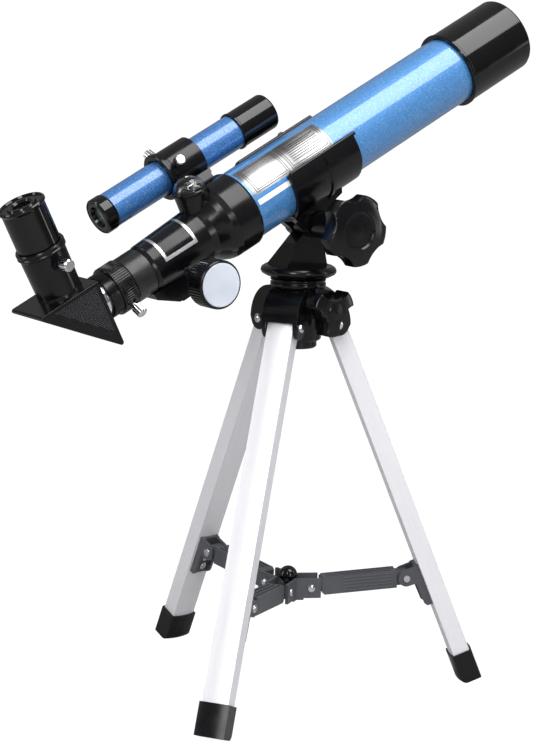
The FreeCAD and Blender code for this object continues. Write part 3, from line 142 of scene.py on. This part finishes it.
def finish_piece(name, bm, place, body, material, sharp=32.0):
    """Turn a bmesh in a local frame into a shaded piece that rides on a body."""
    bmesh.ops.remove_doubles(bm, verts=bm.verts, dist=1e-7)
    bmesh.ops.dissolve_degenerate(bm, edges=bm.edges, dist=1e-8)
    bmesh.ops.recalc_face_normals(bm, faces=bm.faces)
    mesh = bpy.data.meshes.new(name)
    bm.to_mesh(mesh)
    bm.free()
    mesh.transform(place)
    piece = bpy.data.objects.new(name, mesh)
    bpy.context.scene.collection.objects.link(piece)
    mesh.materials.append(material)
    mesh.shade_smooth()
    mesh.set_sharp_from_angle(angle=math.radians(sharp))
    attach(piece, body)
    return piece


# ------------------------------------------------------------- materials

class Shader:
    """Small wrapper that adds nodes to one principled material."""

    def __init__(self, name):
        self.material = bpy.data.materials.new(name)
        self.material.use_nodes = True
        self.tree = self.material.node_tree
        self.principled = self.tree.nodes["Principled BSDF"]
        self.coords = self.tree.nodes.new("ShaderNodeTexCoord").outputs["Object"]

    def set(self, **values):
        for key, value in values.items():
            self.principled.inputs[key.replace("_", " ")].default_value = value

    def link(self, output, socket):
        self.tree.links.new(output, socket)

    def stretched(self, direction, stretch):
        """Coordinates that are drawn out along a direction."""
        node = self.tree.nodes.new("ShaderNodeMapping")
        node.vector_type = "TEXTURE"
        self.link(self.coords, node.inputs["Vector"])
        node.inputs["Rotation"].default_value = tuple(direction.to_track_quat("Z", "Y").to_euler())
        node.inputs["Scale"].default_value = (1, 1, stretch)
        return node.outputs["Vector"]

    def noise(self, scale, detail=3.0, vector=None):
        node = self.tree.nodes.new("ShaderNodeTexNoise")
        node.inputs["Scale"].default_value = scale
        node.inputs["Detail"].default_value = detail
        self.link(vector or self.coords, node.inputs["Vector"])
        return node.outputs["Fac"]

    def cells(self, scale):
        node = self.tree.nodes.new("ShaderNodeTexVoronoi")
        node.inputs["Scale"].default_value = scale
        self.link(self.coords, node.inputs["Vector"])
        return node.outputs["Color"]

    def ramp(self, value, stops):
        node = self.tree.nodes.new("ShaderNodeValToRGB")
        self.link(value, node.inputs["Fac"])
        ramp = node.color_ramp
        while len(ramp.elements) < len(stops):
            ramp.elements.new(0.5)
        for element, (position, colour) in zip(ramp.elements, stops):
            element.position = position
            element.color = (*colour, 1)
        return node.outputs["Color"]

    def span(self, value, low, high, from_low=0.0, from_high=1.0):
        node = self.tree.nodes.new("ShaderNodeMapRange")
        self.link(value, node.inputs["Value"])
        node.inputs["From Min"].default_value = from_low
        node.inputs["From Max"].default_value = from_high
        node.inputs["To Min"].default_value = low
        node.inputs["To Max"].default_value = high
        return node.outputs["Result"]

    def colour(self, output):
        self.link(output, self.principled.inputs["Base Color"])

    def roughness(self, output):
        self.link(output, self.principled.inputs["Roughness"])

    def bump(self, height, distance, strength):
        node = self.tree.nodes.new("ShaderNodeBump")
        node.inputs["Distance"].default_value = distance
        node.inputs["Strength"].default_value = strength
        self.link(height, node.inputs["Height"])
        self.link(node.outputs["Normal"], self.principled.inputs["Normal"])


def tint(colour, factor):
    return tuple(min(1.0, channel * factor) for channel in colour)


def plastic(name, colour, rough, grain_mm=0.5, grain_depth=0.02, rough_spread=0.06, specular=0.5):
    """Moulded plastic: fine grain, slight tone drift, uneven gloss from handling."""
    shader = Shader(name)
    shader.set(Specular_IOR_Level=specular)
    drift = shader.noise(35, 2.0)
    shader.colour(shader.ramp(drift, [(0.3, tint(colour, 0.85)), (0.7, tint(colour, 1.18))]))
    wear = shader.noise(110, 4.0)
    shader.roughness(shader.span(wear, rough - rough_spread, rough + rough_spread, 0.3, 0.7))
    shader.bump(shader.noise(1.0 / (grain_mm * MM), 2.0), grain_depth * MM, 0.7)
    return shader.material


def flake_paint(name, deep, bright, sparkle):
    """Metallic paint under clear lacquer: flakes tilt and glint cell by cell."""
    shader = Shader(name)
    shader.set(Metallic=0.28, Coat_Weight=1.0, Coat_Roughness=0.05, Coat_IOR=1.5)
    flakes = shader.cells(3200)
    split = shader.tree.nodes.new("ShaderNodeSeparateColor")
    shader.link(flakes, split.inputs["Color"])
    shader.colour(shader.ramp(split.outputs["Red"], [
        (0.0, deep), (0.45, tint(deep, 1.3)), (0.85, bright), (1.0, sparkle),
    ]))
    shader.roughness(shader.span(split.outputs["Green"], 0.40, 0.56))
    shader.bump(split.outputs["Blue"], 0.012 * MM, 0.4)
    return shader.material


def satin_metal(name, colour, rough, along=None, streak=0.05, metallic=1.0):
    """Drawn or anodised metal with fine streaks along its length."""
    shader = Shader(name)
    shader.set(Metallic=metallic)
    vector = None if along is None else shader.stretched(along, 40)
    streaks = shader.noise(1500, 3.0, vector)
    dark, light = tint(colour, 1 - streak), tint(colour, 1 + streak)
    shader.colour(shader.ramp(streaks, [(0.3, dark), (0.7, light)]))
    sheen = shader.noise(900, 2.0, vector)
    shader.roughness(shader.span(sheen, rough - 0.05, rough + 0.06, 0.3, 0.7))
    shader.bump(streaks, 0.01 * MM, 0.4)
    return shader.material


def banded_foil(name, back, front, tones):
    """Metallised film with light and dark bands along the tube, between two stations."""
    shader = Shader(name)
    shader.set(Metallic=0.85)
    travel = shader.tree.nodes.new("ShaderNodeVectorMath")
    travel.operation = "DOT_PRODUCT"
    shader.link(shader.coords, travel.inputs[0])
    travel.inputs[1].default_value = TUBE_FORWARD
    origin = TUBE_FORWARD.dot(SCOPE_ORIGIN)
    share = shader.span(travel.outputs["Value"], 0.0, 1.0, origin + back * MM, origin + front * MM)
    last = len(tones) - 1
    shader.colour(shader.ramp(share, [(index / last, (tone,) * 3) for index, tone in enumerate(tones)]))
    grain = shader.noise(1800, 3.0)
    shader.roughness(shader.span(grain, 0.24, 0.36, 0.3, 0.7))
    shader.bump(grain, 0.006 * MM, 0.4)
    return shader.material


def polished(name, colour, rough=0.09):
    """Plated metal with faint handling marks."""
    shader = Shader(name)
    shader.set(Metallic=1.0)
    marks = shader.noise(220, 3.0)
    shader.colour(shader.ramp(marks, [(0.35, tint(colour, 0.93)), (0.65, tint(colour, 1.05))]))
    shader.roughness(shader.span(shader.noise(500, 5.0), rough - 0.04, rough + 0.07, 0.35, 0.75))
    return shader.material


def clear(name, colour, rough, tone=None, transmission=0.92, ior=1.47, coat=0.4):
    """Glass or clear plastic with a coating tone and slight smears."""
    shader = Shader(name)
    shader.set(Transmission_Weight=transmission, IOR=ior, Coat_Weight=coat, Coat_Roughness=0.03)
    film = shader.noise(60, 2.0)
    shader.colour(shader.ramp(film, [(0.35, colour), (0.65, tone or tint(colour, 0.96))]))
    shader.roughness(shader.span(shader.noise(140, 4.0), rough, rough + 0.05, 0.4, 0.7))
    return shader.material


def leg_direction(number):
    """Direction from a leg's foot up to its hinge."""
    low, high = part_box("leg_foot_%d" % number)
    return (joint_place("leg_%d_fold" % number) - (low + high) / 2).normalized()


LABEL_BACK, LABEL_FRONT = -42.0, 26.0
LABEL_TONES = (0.20, 0.44, 0.50, 0.24, 0.14, 0.32, 0.52, 0.28)

BLACK = plastic("black_moulding", (0.0030, 0.0030, 0.0038), 0.20, grain_mm=0.35,
                grain_depth=0.003, rough_spread=0.05, specular=0.34)
GLOSS_BLACK = plastic("gloss_black", (0.0025, 0.0025, 0.003), 0.10, grain_mm=1.4,
                      grain_depth=0.002, rough_spread=0.03, specular=0.40)
SEMI_BLACK = plastic("semi_black", (0.0030, 0.0030, 0.0038), 0.18,
                     grain_depth=0.003, rough_spread=0.05, specular=0.36)
# Black plastic diamonds with a lighter base colour: a painted highlight for the light their slopes catch.
DIAMOND_PAINTED_HIGHLIGHT = plastic("diamond_painted_highlight", (0.055, 0.056, 0.062), 0.22,
                  grain_depth=0.003, rough_spread=0.05, specular=0.7)
DARK_GREY = plastic("dark_grey_moulding", (0.062, 0.064, 0.074), 0.42, grain_mm=0.35, grain_depth=0.015)
RUBBER = plastic("foot_rubber", (0.0035, 0.0035, 0.0045), 0.24, grain_mm=0.4,
                 grain_depth=0.006, rough_spread=0.05, specular=0.32)
BLACK_PAINT = plastic("black_tube_paint", (0.010, 0.010, 0.011), 0.32, grain_mm=0.6, grain_depth=0.008)
BLUE = flake_paint("blue_flake_paint", (0.040, 0.175, 0.44), (0.075, 0.28, 0.58), (0.26, 0.52, 0.82))
DEEP_BLUE = flake_paint("finder_flake_paint", (0.018, 0.100, 0.31), (0.04, 0.18, 0.46),
                        (0.20, 0.45, 0.78))
CHROME = polished("bright_chrome", (0.80, 0.81, 0.83))
STEEL = polished("zinc_steel", (0.66, 0.66, 0.67), 0.18)
GLASS = clear("coated_glass", (0.72, 0.86, 0.84), 0.01, tone=(0.66, 0.74, 0.88))
DOME = clear("clear_dome_plastic", (0.97, 0.98, 0.99), 0.0, transmission=1.0, ior=1.12, coat=0.5)
PALE_CAP = plastic("pale_cap_plastic", (0.66, 0.71, 0.80), 0.42, grain_mm=0.6, grain_depth=0.006)
DIAL = plastic("dial_face", (0.006, 0.006, 0.007), 0.5, grain_depth=0.004)
MIRROR = polished("mirror_silver", (0.88, 0.90, 0.91), 0.05)
PAPER = plastic("white_paper", (0.86, 0.86, 0.85), 0.45, grain_depth=0.003)
INK = plastic("printed_black", (0.02, 0.02, 0.02), 0.4, grain_depth=0.003)
SILVER_INK = satin_metal("silver_ink", (0.72, 0.73, 0.74), 0.32)
FOIL = banded_foil("foil_silver", LABEL_BACK, LABEL_FRONT, LABEL_TONES)
LEG_METAL = {
    number: satin_metal("leg_aluminium_%d" % number, (0.81, 0.81, 0.84), 0.42,
                        along=leg_direction(number), streak=0.03, metallic=0.30)
    for number in (1, 2, 3)
}

FINISHES = {
    "black_plastic": BLACK, "gloss_black": GLOSS_BLACK, "dark_grey_plastic": DARK_GREY,
    "foot_rubber": RUBBER, "steel": STEEL, "chrome": CHROME, "blue_paint": BLUE,
    "black_paint": BLACK_PAINT, "glass": GLASS, "clear_dome": DOME, "knob_plastic": SEMI_BLACK,
    "pale_cap": PALE_CAP, "compass_face": DIAL, "mirror": MIRROR,
}


# ------------------------------------------------------------- finishes of the CAD nodes

EDGE_WIDTHS = {
    "altitude_knob": 0.6, "azimuth_lock_knob": 0.5, "tripod_hub": 0.5, "yoke": 0.5,
    "diagonal_side_plates": 0.35, "spreader_hub": 0.35,
}


def soften(piece, width_mm):
    """Join split corners, then round the hard edges as moulded edges are."""
    weld = piece.modifiers.new("join", "WELD")
    weld.merge_threshold = 0.0005 * MM
    bevel = piece.modifiers.new("edge", "BEVEL")
    bevel.width = width_mm * MM
    bevel.segments = 2
    bevel.limit_method = "ANGLE"
    bevel.angle_limit = math.radians(35.0)
    bevel.harden_normals = True


def finish_cad_nodes():
    slots = {item["node"]: item["material_slot"] for item in frame["record"]["subparts"]}
    for name, piece in NODES.items():
        if name.startswith("leg_tube_"):
            material = LEG_METAL[int(name[-1])]
        elif name == "finder_tube":
            material = DEEP_BLUE
        else:
            material = FINISHES[slots[name]]
        piece.data.materials.clear()
        piece.data.materials.append(material)
        if name in EDGE_WIDTHS:
            soften(piece, EDGE_WIDTHS[name])


# ------------------------------------------------------------- ribbed knobs and rings

def rib_ripple(count, depth, first, last):
    """Fine ribs between two stations."""
    def ripple(angle, station):
        if not first < station < last:
            return 0.0
        return -depth * max(0.0, math.cos(count * angle)) ** 0.5
    return ripple


def focus_knobs():
    near, far, radius, ribs = 24.5, 41.0, 15.2, 48
    bore, face_radius = 2.02, 13.56
    hub = [(near - 8, bore), (near - 8, 4.3), (near - 7.6, 4.6), (near, 5.4)]
    back_edge = [
        (near + 0.1, 8.4), (near + 1.0, 10.5), (near + 1.0, 13.8), (near + 1.4, 14.6),
        (near + 2.0, 14.9), (near + 2.6, radius), (near + 3.0, radius),
    ]
    front_edge = [
        (far - 1.9, radius), (far - 1.5, radius), (far - 0.9, 15.0), (far - 0.3, 14.6), (far, 14.1),
        (far - 0.05, 13.7), (far - 0.35, face_radius), (far - 0.8, face_radius), (far - 0.8, bore),
    ]
    for label, turn in (("near", 0.0), ("far", math.pi)):
        bm = bmesh.new()
        lathe(bm, hub + back_edge + front_edge, ribs * 12,
              ripple=rib_ripple(ribs, 0.7, near + 2.4, far - 1.2))
        place = FOCUS_FRAME @ Matrix.Rotation(turn, 4, "Z")
        piece = finish_piece("focus_wheel_" + label, bm, place, "focus_wheel",
                             SEMI_BLACK, 50)
        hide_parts("focus_knob_" + label)


def ribbed_collar():
    ring_back, ring_front, radius, sleeve, ribs = -150.0, -138.0, 16.0, 14.4, 64
    inner, bore, tail = 13.32, 12.26, -157.0
    profile = [
        (tail, bore), (tail, 13.8), (tail + 0.6, sleeve), (ring_back - 0.3, sleeve), (ring_back, 14.6),
        (ring_back, 15.2), (ring_back + 0.3, 15.8), (ring_back + 0.8, radius), (ring_back + 1.0, radius),
        (ring_front - 1.0, radius), (ring_front - 0.8, radius), (ring_front - 0.3, 15.8),
        (ring_front, 15.2), (ring_front, inner), (ring_back + 0.4, inner), (ring_back + 0.4, bore),
    ]
    bm = bmesh.new()
    lathe(bm, profile, ribs * 8, ripple=rib_ripple(ribs, 0.45, ring_back + 0.9, ring_front - 0.9))
    piece = finish_piece("drawtube_ribbed_ring", bm, SCOPE, "focus_tube", BLACK, 45)
    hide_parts("drawtube_collar")


# ------------------------------------------------------------- marks and trim

def curved_patch(name, radius, thickness, back, front, start, end, slot, material):
    """Thin sheet on the main tube; angles from the top in degrees, near side positive."""
    bm = bmesh.new()
    profile = [(back, radius), (front, radius), (front, radius + thickness), (back, radius + thickness)]
    lathe(bm, profile, max(2, int(abs(end - start) / 2)), start, end - start)
    finish_piece(name, bm, SCOPE, "scope", material)


def border_rules(low, high, start, end):
    """Four rules round a field, as (back, front, start, end) each."""
    line_mm, line_degrees = 0.55, 1.4
    return [
        (low, high, start, start + line_degrees), (low, high, end - line_degrees, end),
        (low, low + line_mm, start, end), (high - line_mm, high, start, end),
    ]


def tube_labels():
    tube_radius, start, end = 23.0, 10.0, 65.5
    curved_patch("foil_label", tube_radius, 0.07, LABEL_BACK, LABEL_FRONT, start, end, "chrome", FOIL)
    margin = 2.6
    rules = []
    for low, high in ((LABEL_BACK + margin, -11.0), (-9.0, LABEL_FRONT - 1.6)):
        for inset in (0.0, 1.5):
            turn_in = margin + 2.2 * inset
            rules += border_rules(low + inset, high - inset, start + turn_in, end - turn_in)
    for index in range(8):
        angle = start + 13.0 + 4.1 * index
        shorter = 4.0 if index % 3 == 1 else 0.0
        rules.append((-5.0, 20.5 - shorter, angle, angle + 1.7))
    for index, rule in enumerate(rules):
        curved_patch("foil_rule_%d" % index, tube_radius + 0.06, 0.03, *rule, "gloss_black", INK)
    curved_patch("plain_strip", tube_radius, 0.08, LABEL_BACK, -15.0, 73.0, 81.5, "pale_cap", PAPER)


def focuser_marks():
    """Printed silver frame on the focuser tube, open towards the top."""
    frame_back, frame_front, line = -114.0, -89.0, 1.9
    taper_start, taper_radius, taper_slope, film = -112.0, 16.1, (17.22 - 16.1) / 23.0, 0.06
    for index, (back, front, start, end) in enumerate((
            (frame_back, frame_back + line, -12, 79), (frame_front - line, frame_front, -12, 79),
            (frame_back, frame_front, 71.0, 79.0))):
        bm = bmesh.new()
        low = taper_radius + taper_slope * (back - taper_start)
        high = taper_radius + taper_slope * (front - taper_start)
        profile = [(back, low), (front, high), (front, high + film), (back, low + film)]
        lathe(bm, profile, 40, start, end - start)
        finish_piece("silver_mark_%d" % index, bm, SCOPE, "scope", SILVER_INK)


def compass_ticks(place):
    """Thirty-six radial ticks, longer at every third and longest at every ninth."""
    count, outer, half, low, high = 36, 6.9, 0.21, 2.72, 2.78
    bm = bmesh.new()
    for index in range(count):
        length = 2.4 if index % 9 == 0 else (1.8 if index % 3 == 0 else 1.2)
        spin = Matrix.Rotation(2 * math.pi * index / count, 4, "X")
        inner = outer - length
        outline = [(half, inner), (-half, inner), (-half, outer), (half, outer)]
        bottom = add_ring(bm, [spin @ Vector((low, y, z)) for y, z in outline])
        top = add_ring(bm, [spin @ Vector((high, y, z)) for y, z in outline])
        close_prism(bm, bottom, top)
    finish_piece("compass_ticks", bm, place, "compass_needle", PAPER)


def compass_marks():
    place = facing(joint_place("compass_card_turn"), joint_axis("compass_card_turn"))
    compass_ticks(place)
    half, reach, low, high = 0.7, 4.4, 4.45, 4.8
    for name, side, material in (("compass_north", 1, STEEL), ("compass_south", -1, INK)):
        bm = bmesh.new()
        outline = [(half, 0), (0.0, reach * side), (-half, 0)]
        bottom = add_ring(bm, [Vector((low, y, z)) for y, z in outline])
        top = add_ring(bm, [Vector((high, y * 0.6, z * 0.97)) for y, z in outline])
        close_prism(bm, bottom, top)
        finish_piece(name, bm, place, "compass_needle", material)


def arm_ribs():
    """Shallow ribs that run along both sides of each brace arm."""
    drop = math.radians(5.0)
    half_width, relief, rib_start, rib_end = 5.8, 0.22, 9.0, 42.0
    for number in (1, 2, 3):
        hinge = joint_place("brace_%d_fold" % number)
        outward = Vector((hinge.x, hinge.y, 0)).normalized()
        along = -outward * math.cos(drop) - UP * math.sin(drop)
        side = UP.cross(outward)
        place = frame_matrix(hinge, along, side, along.cross(side))
        bm = bmesh.new()
        for face, outer in ((-half_width, -half_width - relief), (half_width, half_width + relief)):
            for height in (-4.4, -2.2, 0.0, 2.2, 4.4):
                section = [(face, height - 0.35), (outer, height - 0.2),
                           (outer, height + 0.2), (face, height + 0.35)]
                first = add_ring(bm, [Vector((rib_start, y, z)) for y, z in section])
                last = add_ring(bm, [Vector((rib_end, y, z)) for y, z in section])
                close_prism(bm, last, first)
        finish_piece("arm_ribs_%d" % number, bm, place, "brace_%d" % number,
                     DARK_GREY)


def diagonal_texture():
    """Small raised diamonds that fill the triangular recess of each side plate; their lighter colour is a painted
    highlight.
    """
    front, top, side, half_depth = -162.3, 17.8, 43.6, 17.42
    pitch, row_share, inset, bottom_rim, slant_rim = 1.32, 0.62, 2.9, 8.0, 7.2
    half, height = 0.52, 0.50
    for name, outward in (("near", -1), ("far", 1)):
        bm = bmesh.new()
        row = 0
        v = top - inset
        while v > top - side + bottom_rim:
            u = front - inset - 0.5 * pitch * (row % 2)
            while (front - u) + (top - v) < side - slant_rim:
                centre = Vector((u, half_depth * outward, v))
                corners = [(half, 0, 0), (0, 0, half * 0.8), (-half, 0, 0), (0, 0, -half * 0.8)]
                base = add_ring(bm, [centre + Vector(corner) for corner in corners])
                tip = bm.verts.new((centre + Vector((0, height * outward, 0))) * MM)
                for j in range(4):
                    bm.faces.new((base[j], base[(j + 1) % 4], tip))
                bm.faces.new(base[::-1])
                u -= pitch
            v -= pitch * row_share
            row += 1
        finish_piece("diagonal_diamonds_" + name, bm, SCOPE, "diagonal", DIAMOND_PAINTED_HIGHLIGHT, 20)


# ------------------------------------------------------------- studio

CAMERA_PLACE = Vector((-0.8497, -1.1246, 0.4640))
CAMERA_AZIMUTH = math.radians(-36.32)
CAMERA_ELEVATION = math.radians(10.23)
CAMERA_ROLL = math.radians(1.84)
CAMERA_LENS = 106.88
SENSOR_WIDTH = 36

AIM = (0, 0, 0.26)
LIGHTS = (
    ("key", (-1.6, -1.2, 1.3), AIM, 0.6, 1.2, 20),
    ("front", (-0.3, -2.3, 0.5), AIM, 0.25, 1.4, 10),
    ("side", (1.7, -1.2, 0.8), AIM, 0.2, 1.8, 4.5),
    ("rim", (-1.9, 0.9, 0.7), AIM, 0.5, 1.4, 9),
    ("top", (0.17, -0.84, 2.1), (0, 0, 0.3), 1.2, 1.7, 42),
)
ROOM_LOW, ROOM_HIGH = 0.18, 0.38
FLOOR_HALF_SIZE = 30
FLOOR_GAP = 0.2 * MM
FLOOR_TONES = (0.39, 0.41)
FLOOR_GLOW = 1.22
FLOOR_GLOW_SHARE = 0.82


def make_camera():
    right = Vector((math.cos(CAMERA_AZIMUTH), math.sin(CAMERA_AZIMUTH), 0))
    back = Vector((math.sin(CAMERA_AZIMUTH) * math.cos(CAMERA_ELEVATION),
                   -math.cos(CAMERA_AZIMUTH) * math.cos(CAMERA_ELEVATION), math.sin(CAMERA_ELEVATION)))
    up = back.cross(right)
    rolled_right = right * math.cos(CAMERA_ROLL) + up * math.sin(CAMERA_ROLL)
    rolled_up = up * math.cos(CAMERA_ROLL) - right * math.sin(CAMERA_ROLL)
    data = bpy.data.cameras.new("camera")
    data.lens = CAMERA_LENS
    data.sensor_width = SENSOR_WIDTH
    data.clip_start = 0.01
    data.clip_end = 100
    camera = bpy.data.objects.new("camera", data)
    camera.matrix_world = frame_matrix(CAMERA_PLACE, rolled_right, rolled_up, back)
    bpy.context.scene.collection.objects.link(camera)
    bpy.context.scene.camera = camera


def make_light(name, place, target, width, height, power):
    data = bpy.data.lights.new(name, "AREA")
    data.shape = "RECTANGLE"
    data.size = width
    data.size_y = height
    data.energy = power
    light = bpy.data.objects.new(name, data)
    light.location = place
    aim = Vector(target) - Vector(place)
    light.rotation_euler = aim.to_track_quat("-Z", "Y").to_euler()
    bpy.context.scene.collection.objects.link(light)


def white_for_camera(tree, shown, lit, target):
    """The camera sees one tone and the object is lit by another, as with a burnt-out backdrop."""
    path = tree.nodes.new("ShaderNodeLightPath")
    mix = tree.nodes.new("ShaderNodeMixShader")
    tree.links.new(path.outputs["Is Camera Ray"], mix.inputs["Fac"])
    tree.links.new(lit, mix.inputs[1])
    tree.links.new(shown, mix.inputs[2])
    tree.links.new(mix.outputs["Shader"], target)


def make_world():
    """White backdrop; the object sees a dim room that is brighter overhead."""
    world = bpy.data.worlds.new("studio")
    world.use_nodes = True
    tree = world.node_tree
    shown = tree.nodes["Background"]
    shown.inputs["Color"].default_value = (1, 1, 1, 1)
    shown.inputs["Strength"].default_value = 1.0
    room = tree.nodes.new("ShaderNodeBackground")
    coords = tree.nodes.new("ShaderNodeTexCoord")
    split = tree.nodes.new("ShaderNodeSeparateXYZ")
    ramp = tree.nodes.new("ShaderNodeValToRGB")
    tree.links.new(coords.outputs["Generated"], split.inputs["Vector"])
    tree.links.new(split.outputs["Z"], ramp.inputs["Fac"])
    ramp.color_ramp.elements[0].color = (ROOM_LOW, ROOM_LOW, ROOM_LOW, 1)
    ramp.color_ramp.elements[1].color = (ROOM_HIGH, ROOM_HIGH, ROOM_HIGH * 1.03, 1)
    tree.links.new(ramp.outputs["Color"], room.inputs["Color"])
    target = tree.nodes["World Output"].inputs["Surface"]
    white_for_camera(tree, shown.outputs["Background"], room.outputs["Background"], target)
    bpy.context.scene.world = world


def make_floor():
    bm = bmesh.new()
    bmesh.ops.create_grid(bm, x_segments=1, y_segments=1, size=FLOOR_HALF_SIZE)
    mesh = bpy.data.meshes.new("floor")
    bm.to_mesh(mesh)
    bm.free()
    floor = bpy.data.objects.new("floor", mesh)
    floor.location = (0, 0, CAD_BOUNDS[0][2] - FLOOR_GAP)
    bpy.context.scene.collection.objects.link(floor)
    shader = Shader("floor_white")
    dark, light = ((tone,) * 3 for tone in FLOOR_TONES)
    shader.colour(shader.ramp(shader.noise(3, 1.0), [(0.4, dark), (0.6, light)]))
    shader.set(Roughness=0.9)
    glow = shader.tree.nodes.new("ShaderNodeEmission")
    glow.inputs["Color"].default_value = (1, 1, 1, 1)
    glow.inputs["Strength"].default_value = FLOOR_GLOW
    shadowed = shader.tree.nodes.new("ShaderNodeMixShader")
    shadowed.inputs["Fac"].default_value = FLOOR_GLOW_SHARE
    shader.link(shader.principled.outputs["BSDF"], shadowed.inputs[1])
    shader.link(glow.outputs["Emission"], shadowed.inputs[2])
    target = shader.tree.nodes["Material Output"].inputs["Surface"]
    white_for_camera(shader.tree, shadowed.outputs["Shader"], shader.principled.outputs["BSDF"], target)
    mesh.materials.append(shader.material)


def make_studio():
    bpy.context.scene.view_settings.view_transform = "Standard"
    for light in LIGHTS:
        make_light(*light)
    make_world()
    make_floor()


finish_cad_nodes()
focus_knobs()
ribbed_collar()
tube_labels()
focuser_marks()
compass_marks()
diagonal_texture()
arm_ribs()
make_studio()
make_camera()
